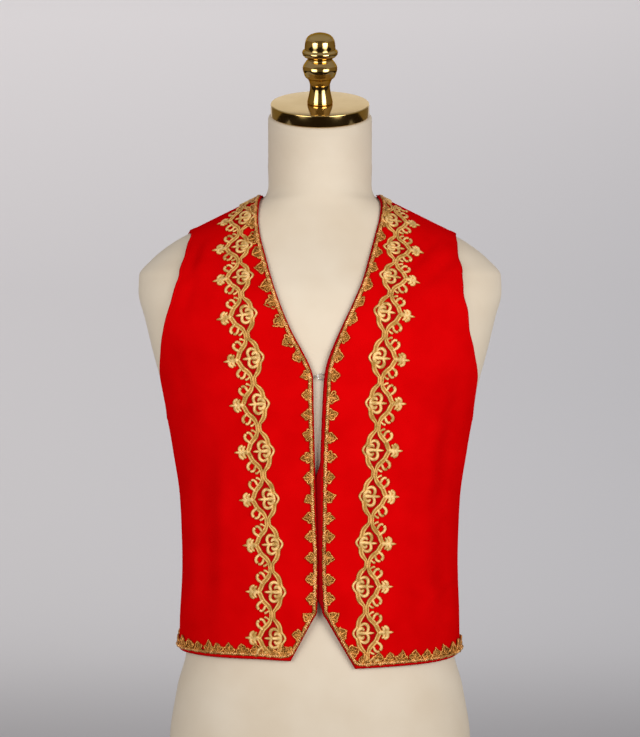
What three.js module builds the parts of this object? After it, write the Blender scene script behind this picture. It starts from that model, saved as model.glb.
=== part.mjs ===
// A sleeveless red waistcoat with gold lace, worn on a limbless dress form that stands on a round base.
// Millimetres, +Z up. The front faces -Y and the wearer's left is at +X. The origin is on the ground,
// under the middle of the form.
import * as THREE from "three";

// ---------------------------------------------------------------- driving dimensions

const CLOTH_WALL = 1.8; // the red cloth with the stiffening that is sewn in it
const SEAM_INSET = 0.25; // each piece stops this far short of a shared seam line
const TRIM_RISE = 0.6; // clear height of a sewn-on trim over the cloth
const TRIM_WALL = 1.2;

const EDGING_MARGIN = 1.6; // plain cloth outside the gold edging
const EDGING_WIDTH = 11;
const GALLOON_HALF_WIDTH = 21.5;
const TRIM_ROOM = 0.8; // the galloon narrows to stay this far from the edging

// The left front's edge is turned in and reaches behind the right front between these heights.
const TURNED_IN = { low: 384, full: 402, last: 520, high: 545, width: 7, least: 1, slope: 0.62 };

const FRONT_POINT_Z = 382; // below this height the front edges run apart
const UNDERARM_Z = 589;
const CHEST_Z = 640; // above this height the rows of a panel fan out to the shoulder
const SHOULDER_TIP = { right: { x: 145.5, z: 800.2 }, left: { x: 152.5, z: 796.5 } };
const NECK_POINT = { x: 65, z: 840 }; // where the shoulder seam meets the neckline
const BACK_NECK_Z = 827;
const BACK_HEM_DIP = 3;

const NECK_TILT = THREE.MathUtils.degToRad(21); // the neck's top leans forward
const NECK_STEM_Z = 872;
const NECK_TOP = { y: -3, z: 928.8, radius: 58.2, round: 4.5 };
const CAP = { radius: 55.3, thickness: 13.5, round: 1.2 };
const FORM_BOTTOM_Z = 145;
const BASE = { radius: 170, thickness: 16, round: 5 };
const POST = { radius: 17, flangeRadius: 36, flangeThickness: 9 };
const CONTACT_GAP = 0.3;

const HOOK_Z = 636;
const WIRE_RADIUS = 0.55;

// ---------------------------------------------------------------- tables

// Turns rows of numbers into one list for each named column.
function table(columns, rows) {
  return Object.fromEntries(columns.map((name, i) => [name, rows.map((row) => row[i])]));
}

// Level sections of the dressed figure's outer face, hips to neck: half its width, its depth in front of
// and behind the shoulder line, where that line lies, and the power that squares the oval.
const SECTIONS = table(
  ["z", "halfWidth", "front", "back", "middleY", "power"],
  [
    [145, 154, 102, 115, 4, 2.3],
    [165, 161, 106, 121, 4, 2.3],
    [230, 171, 110, 129, 4, 2.3],
    [290, 163, 109, 123.5, 3, 2.3],
    [329, 156.5, 108, 118, 2, 2.25],
    [370, 156, 107, 113, 1, 2.25],
    [430, 154.3, 106, 108.5, 0, 2.2],
    [470, 155.3, 108, 107.5, 0, 2.2],
    [502, 157, 111, 109, 0, 2.2],
    [550, 164, 117, 112.5, 0, 2.25],
    [589, 171, 121, 117, 0, 2.3],
    [620, 180, 124, 121, 0, 2.35],
    [665, 192, 125, 125, 0, 2.4],
    [700, 200, 119, 125, 0, 2.4],
    [730, 207, 108, 122, 0, 2.3],
    [750, 206, 97.5, 117, 1, 2.2],
    [770, 190, 86, 108, 2, 2.1],
    [790, 164, 76, 97, 4, 2],
    [810, 125.5, 68.5, 87, 6, 2],
    [830, 85.2, 64, 77, 8, 2],
    [837, 71, 63, 73, 8, 2],
    [840, 65, 62.5, 71, 8, 2],
    [850, 61.5, 61.5, 66, 8, 2],
    [872, 60.8, 61, 61.5, 6, 2],
  ],
);

// The clear space between the form and the inside of the cloth, at the side, front and back.
const EASE = table(
  ["z", "side", "front", "back"],
  [
    [145, 0.5, 0.5, 0.5],
    [290, 1.5, 1.5, 2],
    [329, 5, 4, 4.5],
    [372, 8, 8, 5.5],
    [400, 11, 11.5, 6.5],
    [430, 13, 13, 7],
    [470, 12, 13, 7],
    [502, 10, 11, 6.3],
    [540, 7, 6, 5],
    [570, 4.7, 4.4, 4.3],
    [589, 4, 4, 4],
    [665, 3, 3.4, 3.4],
    [730, 2, 2.5, 2.5],
    [770, 1.2, 1.5, 1.5],
    [795, 0.9, 1, 1.2],
    [815, 0.9, 1.2, 3],
    [832, 2, 1.8, 3.6],
    [852, 1.6, 1.6, 2],
    [872, 0.5, 0.5, 0.5],
  ],
);

// How far the front edge stands from the centre line: the neckline, the closed edge and the cutaway.
const FRONT_EDGE = table(
  ["z", "right", "left"],
  [
    [318, 37.8, 40.5],
    [372, 8.6, 9],
    [382, 3.3, 3.3],
    [400, 2.5, 1.9],
    [440, 2.6, 0.9],
    [478, 3.8, 0.6],
    [503, 4.4, 0.4],
    [537, 5.2, 0.9],
    [568, 5.9, 1.9],
    [600, 6.6, 3.2],
    [636, 7.4, 5.4],
    [648, 11, 7.6],
    [662, 18, 12.2],
    [688, 31.7, 23.3],
    [716, 43.2, 36.4],
    [742, 52, 47.2],
    [767, 59, 54.4],
    [793, 65.8, 61.6],
    [812, 68.2, 66.6],
    [828, 67.8, 68.6],
    [840, 65, 65],
  ],
);

// Height of the hem, by its distance from the centre line.
const HEM = table(
  ["x", "right", "left"],
  [
    [30, 329, 320.5],
    [76, 330.5, 322],
    [118, 330.5, 323.5],
    [147, 331.5, 326],
    [157, 333, 329],
  ],
);

// The armhole, as its distance in front of and behind the shoulder line.
const ARMHOLE = table(
  ["z", "right", "left", "back"],
  [
    [589, 0, 0, 0],
    [590.5, 12, 12, 12],
    [595, 24, 24, 25],
    [603, 33, 34, 38],
    [615, 40, 43, 50],
    [634, 46, 51.5, 62],
    [664, 63, 71.4, 75],
    [690, 72.5, 80.3, 82],
    [716, 78, 80.8, 86],
    [742, 72.5, 72.3, 84],
    [768, 57, 54.8, 68],
    [784, 42, 37.2, 47],
    [794, 30, 19.2, 27],
    [797.6, 18, 0, 13],
    [798.6, 13, 0, 9],
    [800.2, 0, 0, 0],
  ],
);

// The middle of the wide gold galloon, by its distance from the centre line.
const GALLOON = table(
  ["z", "right", "left"],
  [
    [320, 60, 59],
    [405, 60, 58],
    [455, 63, 61.5],
    [557, 72, 68.5],
    [655, 83, 75.5],
    [700, 90.5, 80.5],
    [745, 95.5, 88],
    [778, 97, 92.5],
    [817, 93, 89],
  ],
);

// The largest folds: a soft trough or, with a negative depth, a ridge. Each runs up its panel along a
// slanting line between two heights, and fades at both ends and to both sides.
const FOLD_COLUMNS = ["face", "x", "low", "high", "slant", "width", "depth"];
const FOLDS = [
  [-1, -128, 335, 600, 0.02, 15, 3],
  [-1, -132, 735, 800, 0.3, 8, -1.2],
  [-1, 140, 335, 520, -0.02, 15, 2.8],
  [-1, 143, 500, 680, 0.12, 15, 2.4],
  [-1, 130, 735, 775, 1.2, 14, 1],
  [1, -122, 340, 590, 0.05, 17, 3],
  [1, 118, 350, 570, -0.04, 16, 2.6],
  [1, 0, 340, 540, 0.01, 20, 1.8],
  [1, -60, 620, 765, -0.2, 24, 1.4],
  [1, 66, 630, 760, 0.22, 22, 1.2],
].map((row) => Object.fromEntries(FOLD_COLUMNS.map((name, i) => [name, row[i]])));

// The value of a table's column at a height or distance: a cubic through the rows that never overshoots.
function along(rows, keyName, valueName, at) {
  const key = rows[keyName];
  const value = rows[valueName];
  const last = key.length - 1;
  let i = key.findIndex((k) => k > at) - 1;
  if (i === -2) i = last - 1;
  i = Math.max(0, Math.min(last - 1, i));
  const step = (k) => key[k + 1] - key[k];
  const rise = (k) => (value[k + 1] - value[k]) / step(k);
  const slopeAt = (k) => {
    if (k === 0) return rise(0);
    if (k === last) return rise(last - 1);
    if (rise(k - 1) * rise(k) <= 0) return 0;
    const before = 2 * step(k) + step(k - 1);
    const after = step(k) + 2 * step(k - 1);
    return (before + after) / (before / rise(k - 1) + after / rise(k));
  };
  const t = THREE.MathUtils.clamp((at - key[i]) / step(i), 0, 1);
  const h = step(i);
  return (
    (1 + 2 * t) * (1 - t) ** 2 * value[i] +
    t * (1 - t) ** 2 * h * slopeAt(i) +
    t * t * (3 - 2 * t) * value[i + 1] +
    t * t * (t - 1) * h * slopeAt(i + 1)
  );
}

const mix = (a, b, t) => a + (b - a) * t;

// ---------------------------------------------------------------- the dressed figure's outer face

const FRONT = -1;
const BACK = 1;

function sectionAt(z) {
  const read = (column) => along(SECTIONS, "z", column, z);
  return {
    halfWidth: read("halfWidth"),
    front: read("front"),
    back: read("back"),
    middleY: read("middleY"),
    power: read("power"),
  };
}

// Zero on the face, negative inside: |x / half width| ^ power + |y / depth| ^ power - 1.
function outside(x, y, z, face) {
  const s = sectionAt(z);
  const depth = face === FRONT ? s.front : s.back;
  return (Math.abs(x) / s.halfWidth) ** s.power + (Math.abs(y - s.middleY) / depth) ** s.power - 1;
}

// The face's outward direction at a point on it, from the slope of the function above.
function outward(x, y, z, face) {
  const h = 0.4;
  const s = sectionAt(z);
  const depth = face === FRONT ? s.front : s.back;
  const slopeX = (s.power * (Math.abs(x) / s.halfWidth) ** (s.power - 1) * Math.sign(x)) / s.halfWidth;
  const slopeY = (s.power * (Math.abs(y - s.middleY) / depth) ** (s.power - 1) * face) / depth;
  const slopeZ = (outside(x, y, z + h, face) - outside(x, y, z - h, face)) / (2 * h);
  return new THREE.Vector3(slopeX, slopeY, slopeZ).normalize();
}

// A point of the face, by its x and z.
function onFace(x, z, face) {
  const s = sectionAt(z);
  const depth = face === FRONT ? s.front : s.back;
  const across = Math.min(1, Math.abs(x) / s.halfWidth);
  const y = s.middleY + face * depth * (1 - across ** s.power) ** (1 / s.power);
  return { place: new THREE.Vector3(x, y, z), normal: outward(x, y, z, face) };
}

// How far the folds move the cloth in (negative) or out at a point.
function foldHeight(x, z, face) {
  let height = 0;
  for (const fold of FOLDS) {
    if (fold.face !== face || z <= fold.low || z >= fold.high) continue;
    const middle = (fold.low + fold.high) / 2;
    const up = (z - middle) / (fold.high - middle);
    const off = (x - fold.x - fold.slant * (z - middle)) / fold.width;
    height -= fold.depth * (1 - up * up) ** 2 * Math.exp(-off * off);
  }
  return height;
}

// A point of the cloth's outer side: the face, moved by the folds.
function onCloth(x, z, face) {
  const point = onFace(x, z, face);
  point.place.addScaledVector(point.normal, foldHeight(x, z, face));
  return point;
}

// Distance from the centre line of a point of the armhole or, below it, of the side seam.
function outerEdgeX(z, face, side) {
  const s = sectionAt(z);
  if (z <= UNDERARM_Z) return s.halfWidth;
  if (z >= SHOULDER_TIP[side].z) return SHOULDER_TIP[side].x;
  const depth = face === FRONT ? s.front : s.back;
  const reach = along(ARMHOLE, "z", face === FRONT ? side : "back", z) / depth;
  return s.halfWidth * (1 - reach ** s.power) ** (1 / s.power);
}

// Height of the shoulder seam at a distance from the centre line, on the face's ridge.
function shoulderZ(x) {
  let [low, high] = [770, NECK_POINT.z];
  for (let halving = 0; halving < 30; halving++) {
    const z = (low + high) / 2;
    if (sectionAt(z).halfWidth > x) low = z;
    else high = z;
  }
  return (low + high) / 2;
}

// ---------------------------------------------------------------- panels as grids

// A column of a panel runs up from the hem to the shoulder or neck. It has xAt(z), bottom and top, its
// lowest height and its highest point, and it is drawn to that point above the chest.
function columnPoint(column, z, face) {
  const rise = Math.max(0, (z - CHEST_Z) / (column.top.z - CHEST_Z));
  const x = column.xAt(z) + (column.top.x - column.xAt(column.top.z)) * rise * rise;
  return onCloth(x, z, face);
}

// The heights at which the rows cross a column: set levels up to the chest, and above it set distances
// along the cloth, closer together near the top, where the cloth turns over.
const ROWS_BELOW_POINT = 2;
const ROWS_TO_UNDERARM = 9;
const ROWS_TO_CHEST = 5;
const UNDERARM_ROW_BEND = 1.8; // draws those rows together at the armhole's rounded foot
const ROWS_TO_TOP = 12;
const ROW_OVER_MARGIN = 1;
const ROW_OVER_EDGING = 2;

function rowHeights(column, face) {
  const low = column.bottom;
  const over = low + EDGING_MARGIN + EDGING_WIDTH;
  const heights = [low, low + EDGING_MARGIN];
  const climb = (from, to, count, bend = 1) => {
    for (let k = 1; k <= count; k++) heights.push(mix(from, to, (k / count) ** bend));
  };
  heights.push(over);
  climb(over, FRONT_POINT_Z, ROWS_BELOW_POINT);
  climb(FRONT_POINT_Z, UNDERARM_Z, ROWS_TO_UNDERARM);
  climb(UNDERARM_Z, CHEST_Z, ROWS_TO_CHEST, UNDERARM_ROW_BEND);

  // Lengths along the column down from its top, measured on a fine run of points.
  const fine = 160;
  const zs = [];
  const lengths = [0];
  let previous = null;
  for (let k = 0; k <= fine; k++) {
    const t = k / fine;
    const z = mix(column.top.z, CHEST_Z, t * t);
    const { place } = columnPoint(column, z, face);
    if (previous) lengths.push(lengths[k - 1] + place.distanceTo(previous));
    zs.push(z);
    previous = place;
  }
  const heightAt = (length) => {
    let k = lengths.findIndex((value) => value >= length);
    if (k <= 0) return zs[Math.max(0, k)];
    return mix(zs[k - 1], zs[k], (length - lengths[k - 1]) / (lengths[k] - lengths[k - 1]));
  };
  const edge = EDGING_MARGIN + EDGING_WIDTH;
  for (let k = 1; k <= ROWS_TO_TOP; k++) {
    const t = 1 - k / ROWS_TO_TOP;
    heights.push(heightAt(mix(edge, lengths[fine], 0.55 * t + 0.45 * t * t)));
  }
  heights.push(heightAt(EDGING_MARGIN), column.top.z);
  return heights;
}

// A panel's grid of points: one list of points, bottom to top, for each column.
function makeGrid(columns, face) {
  return columns.map((column) => rowHeights(column, face).map((z) => columnPoint(column, z, face)));
}

const LAST_ROW = ROW_OVER_EDGING + ROWS_BELOW_POINT + ROWS_TO_UNDERARM + ROWS_TO_CHEST + ROWS_TO_TOP + 2;

// A closed wall over the chosen cells of a grid, between two distances from its points along their
// normals. Points on its border draw in a little, so that pieces which share a line stay apart.
function wallOverCells(grid, chosen, low, high) {
  const columns = grid.length - 1;
  const rows = grid[0].length - 1;
  const has = (i, j) => i >= 0 && j >= 0 && i < columns && j < rows && chosen(i, j);
  const centre = (i, j) =>
    new THREE.Vector3()
      .add(grid[i][j].place)
      .add(grid[i + 1][j].place)
      .add(grid[i][j + 1].place)
      .add(grid[i + 1][j + 1].place)
      .multiplyScalar(0.25);

  const positions = [];
  const numbers = new Map();
  // Each used grid point gets two vertices: the lower, then the upper.
  const vertex = (i, j) => {
    const key = i * (rows + 1) + j;
    if (!numbers.has(key)) {
      const { place, normal } = grid[i][j];
      const around = [[i - 1, j - 1], [i, j - 1], [i - 1, j], [i, j]].filter(([a, b]) => has(a, b));
      const inner = place.clone();
      if (around.length < 4) {
        const pull = new THREE.Vector3();
        for (const [a, b] of around) pull.add(centre(a, b).sub(place).normalize());
        inner.addScaledVector(pull.projectOnPlane(normal).normalize(), SEAM_INSET * Math.SQRT2);
      }
      numbers.set(key, positions.length / 3);
      for (const distance of [low, high]) {
        positions.push(...inner.clone().addScaledVector(normal, distance).toArray());
      }
    }
    return numbers.get(key);
  };

  const index = [];
  const quad = (a, b, c, d) => index.push(a, b, c, a, c, d);
  for (let i = 0; i < columns; i++) {
    for (let j = 0; j < rows; j++) {
      if (!has(i, j)) continue;
      const [a, b, c, d] = [vertex(i, j), vertex(i + 1, j), vertex(i + 1, j + 1), vertex(i, j + 1)];
      quad(a + 1, b + 1, c + 1, d + 1);
      quad(c, b, a, d);
      if (!has(i, j - 1)) quad(a, b, b + 1, a + 1);
      if (!has(i + 1, j)) quad(b, c, c + 1, b + 1);
      if (!has(i, j + 1)) quad(c, d, d + 1, c + 1);
      if (!has(i - 1, j)) quad(d, a, a + 1, d + 1);
    }
  }

  // The quads above face out where the columns run to the right as seen from outside.
  const across = grid[1][1].place.clone().sub(grid[0][1].place);
  const upward = grid[0][2].place.clone().sub(grid[0][1].place);
  if (across.cross(upward).dot(grid[0][1].normal) < 0) {
    for (let k = 0; k < index.length; k += 3) [index[k + 1], index[k + 2]] = [index[k + 2], index[k + 1]];
  }
  const geometry = new THREE.BufferGeometry();
  geometry.setAttribute("position", new THREE.Float32BufferAttribute(positions, 3));
  geometry.setIndex(index);
  return geometry;
}

// The turned-in edge of a panel: one more column beside the edge's, further over and further in.
function turnedInColumn(edge, away) {
  const { low, full, last, high, width, least, slope } = TURNED_IN;
  return edge.map(({ place, normal }) => {
    const { smoothstep } = THREE.MathUtils;
    const over = mix(least, width, smoothstep(place.z, low, full) * (1 - smoothstep(place.z, last, high)));
    const level = new THREE.Vector3(away, 0, 0).projectOnPlane(normal).normalize();
    return { place: place.clone().addScaledVector(level, over).addScaledVector(normal, -over * slope), normal };
  });
}

// The columns of a front: margin, edging, plain cloth, galloon, and plain cloth out to the armhole.
const EDGE_COLUMNS = { margin: 1, edging: 1, inner: 2, galloon: 3, outer: 5 };
const FIRST_GALLOON_COLUMN = EDGE_COLUMNS.margin + EDGE_COLUMNS.edging + EDGE_COLUMNS.inner;

function frontColumns(side) {
  const sign = side === "right" ? -1 : 1;
  const edgeX = (z) => along(FRONT_EDGE, "z", side, z);
  // A distance square to the edge, measured level. It is held back where the edge's slope is steepest.
  const spread = (z) => {
    const slope = (edgeX(z + 4) - edgeX(z - 4)) / 8;
    return Math.min(1.25, Math.hypot(1, slope));
  };
  const galloonX = (z) => along(GALLOON, "z", side, z);
  const guides = [
    edgeX,
    (z) => edgeX(z) + EDGING_MARGIN * spread(z),
    (z) => edgeX(z) + (EDGING_MARGIN + EDGING_WIDTH) * spread(z),
    (z) => Math.max(galloonX(z) - GALLOON_HALF_WIDTH, guides[2](z) + TRIM_ROOM),
    (z) => galloonX(z) + GALLOON_HALF_WIDTH,
    (z) => outerEdgeX(z, FRONT, side),
  ];
  // The same lines where they reach the shoulder seam, which falls away from the neck.
  const tip = SHOULDER_TIP[side];
  const level = tip.x - NECK_POINT.x;
  const perLength = level / Math.hypot(level, NECK_POINT.z - tip.z);
  const edgingSeamX = NECK_POINT.x + (EDGING_MARGIN + EDGING_WIDTH) * perLength;
  const galloonSeamX = galloonX(GALLOON.z.at(-1));
  const seamX = [
    NECK_POINT.x,
    NECK_POINT.x + EDGING_MARGIN * perLength,
    edgingSeamX,
    Math.max(galloonSeamX - GALLOON_HALF_WIDTH, edgingSeamX + TRIM_ROOM),
    galloonSeamX + GALLOON_HALF_WIDTH,
    tip.x,
  ];

  const columns = [];
  Object.values(EDGE_COLUMNS).forEach((count, k) => {
    const isOuter = k === guides.length - 2;
    for (let m = k === 0 ? 0 : 1; m <= count; m++) {
      const t = m / count;
      const bend = (z) => (isOuter ? 1 - (1 - t) ** mix(2, 1.2, THREE.MathUtils.smoothstep(z, 600, 700)) : t);
      const topX = mix(seamX[k], seamX[k + 1], bend(tip.z));
      const xAt = (z) => sign * mix(guides[k](z), guides[k + 1](z), bend(z));
      const bottom = along(HEM, "x", side, Math.abs(xAt(HEM[side][0])));
      columns.push({ xAt, bottom, top: { x: sign * topX, z: shoulderZ(topX) } });
    }
  });
  return columns;
}

// The columns of the back: armhole to neck, round the neck, and neck to the other armhole.
const BACK_SHOULDER_COLUMNS = 7;
const BACK_NECK_COLUMNS = 12;

function backColumns() {
  const columns = [];
  const backHem = (x) => {
    const reach = SECTIONS.halfWidth[4];
    const sides = mix(along(HEM, "x", "right", reach), along(HEM, "x", "left", reach), (x / reach + 1) / 2);
    return sides - BACK_HEM_DIP * (1 - (x / reach) ** 2);
  };
  const add = (xAt, top) => {
    columns.push({ xAt, bottom: backHem(xAt(HEM.right[0])), top });
  };
  const shoulder = (sign, t) => {
    const bend = (z) => 1 - (1 - t) ** mix(2, 1.2, THREE.MathUtils.smoothstep(z, 600, 700));
    const side = sign < 0 ? "right" : "left";
    const topX = mix(NECK_POINT.x, SHOULDER_TIP[side].x, bend(SHOULDER_TIP[side].z));
    add((z) => sign * mix(NECK_POINT.x, outerEdgeX(z, BACK, side), bend(z)), { x: sign * topX, z: shoulderZ(topX) });
  };
  for (let m = BACK_SHOULDER_COLUMNS; m >= 1; m--) shoulder(-1, m / BACK_SHOULDER_COLUMNS);
  for (let m = 0; m <= BACK_NECK_COLUMNS; m++) {
    const turn = Math.PI * (m / BACK_NECK_COLUMNS - 0.5);
    const x = NECK_POINT.x * Math.sin(turn);
    add(() => x, { x, z: mix(BACK_NECK_Z, NECK_POINT.z, Math.abs(Math.sin(turn)) ** 3) });
  }
  for (let m = 1; m <= BACK_SHOULDER_COLUMNS; m++) shoulder(1, m / BACK_SHOULDER_COLUMNS);
  return columns;
}

// ---------------------------------------------------------------- materials and nodes

const CLOTH_RED = new THREE.Color(0.62, 0.01, 0.015);
const LACE_GOLD = new THREE.Color(0.68, 0.43, 0.13);

function node(name, geometry, color, roughness, metalness) {
  const mesh = new THREE.Mesh(geometry, new THREE.MeshStandardMaterial({ color, roughness, metalness }));
  mesh.name = name;
  return mesh;
}

const cloth = (name, geometry) => node(name, geometry, CLOTH_RED, 0.85, 0);
const lace = (name, geometry) => node(name, geometry, LACE_GOLD, 0.6, 0.2);
const steel = (name, geometry) => node(name, geometry, new THREE.Color(0.75, 0.75, 0.74), 0.3, 1);
const brass = (name, geometry) => node(name, geometry, new THREE.Color(0.75, 0.58, 0.3), 0.25, 1);
const jersey = (name, geometry) => node(name, geometry, new THREE.Color(0.76, 0.66, 0.52), 0.9, 0);
const painted = (name, geometry) => node(name, geometry, new THREE.Color(0.12, 0.11, 0.1), 0.5, 0);

const trimWall = (grid, chosen) => wallOverCells(grid, chosen, TRIM_RISE, TRIM_RISE + TRIM_WALL);

// One front with the edging along its neckline, closed edge, cutaway and hem, and its galloon.
function makeFront(side) {
  const grid = makeGrid(frontColumns(side), FRONT);
  const turned = side === "left" ? 1 : 0;
  if (turned) grid.unshift(turnedInColumn(grid[0], -1));
  const edgingColumn = turned + EDGE_COLUMNS.margin;
  const galloonColumn = turned + FIRST_GALLOON_COLUMN;
  const lastColumn = grid.length - 2;
  const { low, high } = TURNED_IN;
  const inFront = (i, j) => i >= turned || (grid[i][j].place.z > low && grid[i][j + 1].place.z < high);
  const inEdging = (i, j) =>
    (i === edgingColumn && j >= ROW_OVER_MARGIN) || (j === ROW_OVER_MARGIN && i >= edgingColumn && i <= lastColumn);
  const inGalloon = (i, j) =>
    i >= galloonColumn && i < galloonColumn + EDGE_COLUMNS.galloon && j >= ROW_OVER_EDGING;
  return [
    cloth(`front_${side}`, wallOverCells(grid, inFront, -CLOTH_WALL, 0)),
    lace(`edging_front_${side}`, trimWall(grid, inEdging)),
    lace(`galloon_${side}`, trimWall(grid, inGalloon)),
  ];
}

// The back, one piece, with the edging carried round its neckline and its hem.
function makeBack() {
  const grid = makeGrid(backColumns(), BACK);
  const isNeck = (i) => i >= BACK_SHOULDER_COLUMNS && i < BACK_SHOULDER_COLUMNS + BACK_NECK_COLUMNS;
  return [
    cloth("back", wallOverCells(grid, () => true, -CLOTH_WALL, 0)),
    lace("edging_back_neck", trimWall(grid, (i, j) => isNeck(i) && j === LAST_ROW - 2)),
    lace("edging_back_hem", trimWall(grid, (i, j) => j === ROW_OVER_MARGIN)),
  ];
}

// ---------------------------------------------------------------- hook and eye

// A round wire bent through a run of points, with flat ends.
function bentWire(points, steps) {
  const path = new THREE.CatmullRomCurve3(points, false, "centripetal");
  const round = new THREE.Shape().absarc(0, 0, WIRE_RADIUS, 0, Math.PI * 2);
  return new THREE.ExtrudeGeometry(round, { steps, curveSegments: 4, extrudePath: path, bevelEnabled: false });
}

// The fastening at the top of the closed edge: the hook is sewn inside the right front and the eye
// inside the left one, and the hook's bill passes round the far end of the eye.
function makeHookAndEye() {
  const y = onFace(0, HOOK_Z, FRONT).place.y + CLOTH_WALL + CONTACT_GAP + WIRE_RADIUS;
  const bill = 2.9; // how far the bill stands in front of the shank
  const lift = bill / 2;
  const at = (x, forward, up) => new THREE.Vector3(x, y - forward, HOOK_Z + up);
  const hook = [
    at(-20, -0.5, 0),
    at(-12, -0.1, 0),
    at(-3, 0, 0),
    at(-1, 0.4, 0),
    at(-0.4, lift, 0),
    at(-1, bill - 0.4, 0),
    at(-3, bill, 0),
    at(-5.6, bill - 0.2, 0),
  ];
  const half = [
    [17, -0.5, 2.7],
    [9, -0.1, 2],
    [5, 0, 1.6],
    [3.2, 0.7, 2.6],
    [1, lift, 3.2],
    [-1.4, lift, 2.3],
  ];
  const eye = [
    ...half.map(([x, forward, up]) => at(x, forward, up)),
    at(-2.3, lift, 0),
    ...half.map(([x, forward, up]) => at(x, forward, -up)).reverse(),
  ];
  return [steel("hook", bentWire(hook, 22)), steel("eye", bentWire(eye, 36))];
}

// ---------------------------------------------------------------- dress form and stand

// A closed skin over rings of points, bottom to top, with a flat fan over each end.
function skinOverRings(rings) {
  const around = rings[0].length;
  const positions = rings.flat().flatMap((p) => p.toArray());
  const index = [];
  for (let r = 0; r + 1 < rings.length; r++) {
    for (let k = 0; k < around; k++) {
      const next = (k + 1) % around;
      const [a, b, c, d] = [r * around + k, r * around + next, (r + 1) * around + next, (r + 1) * around + k];
      index.push(a, b, c, a, c, d);
    }
  }
  const addEnd = (ring, first, facesDown) => {
    const middle = ring.reduce((sum, p) => sum.add(p), new THREE.Vector3()).divideScalar(around);
    const centre = positions.length / 3;
    positions.push(...middle.toArray());
    for (let k = 0; k < around; k++) {
      const next = (k + 1) % around;
      index.push(centre, first + (facesDown ? next : k), first + (facesDown ? k : next));
    }
  };
  addEnd(rings[0], 0, true);
  addEnd(rings[rings.length - 1], (rings.length - 1) * around, false);
  const geometry = new THREE.BufferGeometry();
  geometry.setAttribute("position", new THREE.Float32BufferAttribute(positions, 3));
  geometry.setIndex(index);
  return geometry;
}

// The form's outer face: the dressed figure drawn in by the cloth and its ease, then a round neck whose
// top leans forward.
function makeTorso() {
  const around = 40;
  const levels = [
    145, 165, 195, 230, 260, 290, 320, 350, 390, 430, 470, 510, 550, 589, 620, 650, 680, 705, 725, 742, 756,
    768, 779, 789, 798.6, 807, 815, 823, 829, 834, 837.5, 840, 842, 845, 850, 858, NECK_STEM_Z,
  ];
  const rings = levels.map((z) => {
    const s = sectionAt(z);
    const ring = [];
    for (let k = 0; k < around; k++) {
      const turn = (2 * Math.PI * k) / around;
      const [c, v] = [Math.cos(turn), Math.sin(turn)];
      const face = v < 0 ? FRONT : BACK;
      const depth = face === FRONT ? s.front : s.back;
      const x = s.halfWidth * Math.sign(c) * Math.abs(c) ** (2 / s.power);
      const y = s.middleY + depth * Math.sign(v) * Math.abs(v) ** (2 / s.power);
      const normal = outward(x, y, z, face);
      const sideways = normal.x ** 2 / (normal.x ** 2 + normal.y ** 2);
      const ease = mix(along(EASE, "z", face === FRONT ? "front" : "back", z), along(EASE, "z", "side", z), sideways);
      const point = new THREE.Vector3(x, y, z).addScaledVector(normal, -(CLOTH_WALL + ease));
      if (z === FORM_BOTTOM_Z) point.z = z;
      ring.push(point);
    }
    return ring;
  });
  const stemY = sectionAt(NECK_STEM_Z).middleY;
  const neckSteps = 3;
  // One ring of the neck, a share t of the way up it, drawn in and lowered by the given distances.
  const addNeckRing = (t, drawnIn, lowered) => {
    const tilt = NECK_TILT * t;
    const centre = new THREE.Vector3(0, mix(stemY, NECK_TOP.y, t), mix(NECK_STEM_Z, NECK_TOP.z, t));
    centre.add(new THREE.Vector3(0, lowered * Math.sin(tilt), -lowered * Math.cos(tilt)));
    const ring = [];
    for (let k = 0; k < around; k++) {
      const turn = (2 * Math.PI * k) / around;
      const radius = NECK_TOP.radius - drawnIn;
      const [x, depth] = [radius * Math.cos(turn), radius * Math.sin(turn)];
      ring.push(centre.clone().add(new THREE.Vector3(x, depth * Math.cos(tilt), depth * Math.sin(tilt))));
    }
    rings.push(ring);
  };
  for (let step = 1; step < neckSteps; step++) addNeckRing(step / neckSteps, 0, 0);
  for (const degrees of [0, 30, 60, 90]) {
    const turn = THREE.MathUtils.degToRad(degrees);
    addNeckRing(1, NECK_TOP.round * (1 - Math.cos(turn)), NECK_TOP.round * (1 - Math.sin(turn)));
  }
  return jersey("form_torso", skinOverRings(rings));
}

// A solid turned about Z from its outline, given as [radius, height] from the axis to the axis.
function turned(outline, segments) {
  const lathe = new THREE.LatheGeometry(outline.map(([r, h]) => new THREE.Vector2(r, h)), segments);
  return lathe.rotateX(Math.PI / 2);
}

// The outline of a plate with rounded rims.
function plateOutline(radius, thickness, round) {
  const outline = [[0, 0], [radius - round, 0]];
  for (const [middle, from] of [[round, -90], [thickness - round, 0]]) {
    for (const degrees of [0, 30, 60, 90]) {
      const turn = THREE.MathUtils.degToRad(from + degrees);
      outline.push([radius - round + round * Math.cos(turn), middle + round * Math.sin(turn)]);
    }
  }
  outline.push([0, thickness]);
  return outline.filter(([r, h], i) => i === 0 || Math.hypot(r - outline[i - 1][0], h - outline[i - 1][1]) > 0.01);
}

// The finial's outline, foot to dome: a flared foot, a narrow stem, a stepped bulge, a groove, a flange
// and a dome.
const FINIAL = table(
  ["height", "radius"],
  [
    [0, 14.2],
    [2.5, 14.1],
    [5.5, 12.9],
    [10, 11.2],
    [14.6, 9.6],
    [19.4, 10.2],
    [23.1, 11.4],
    [26.9, 13.2],
    [29.8, 16.2],
    [34.5, 18.1],
    [39.7, 19.4],
    [44, 18],
    [47.7, 15.4],
    [50.3, 13.8],
    [53.4, 17.6],
    [57.9, 19.9],
    [60.8, 17.9],
    [66.2, 17],
    [70.8, 16.1],
    [75.2, 13.6],
    [78, 9.2],
  ],
);
const FINIAL_TOP = 79.7;

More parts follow.
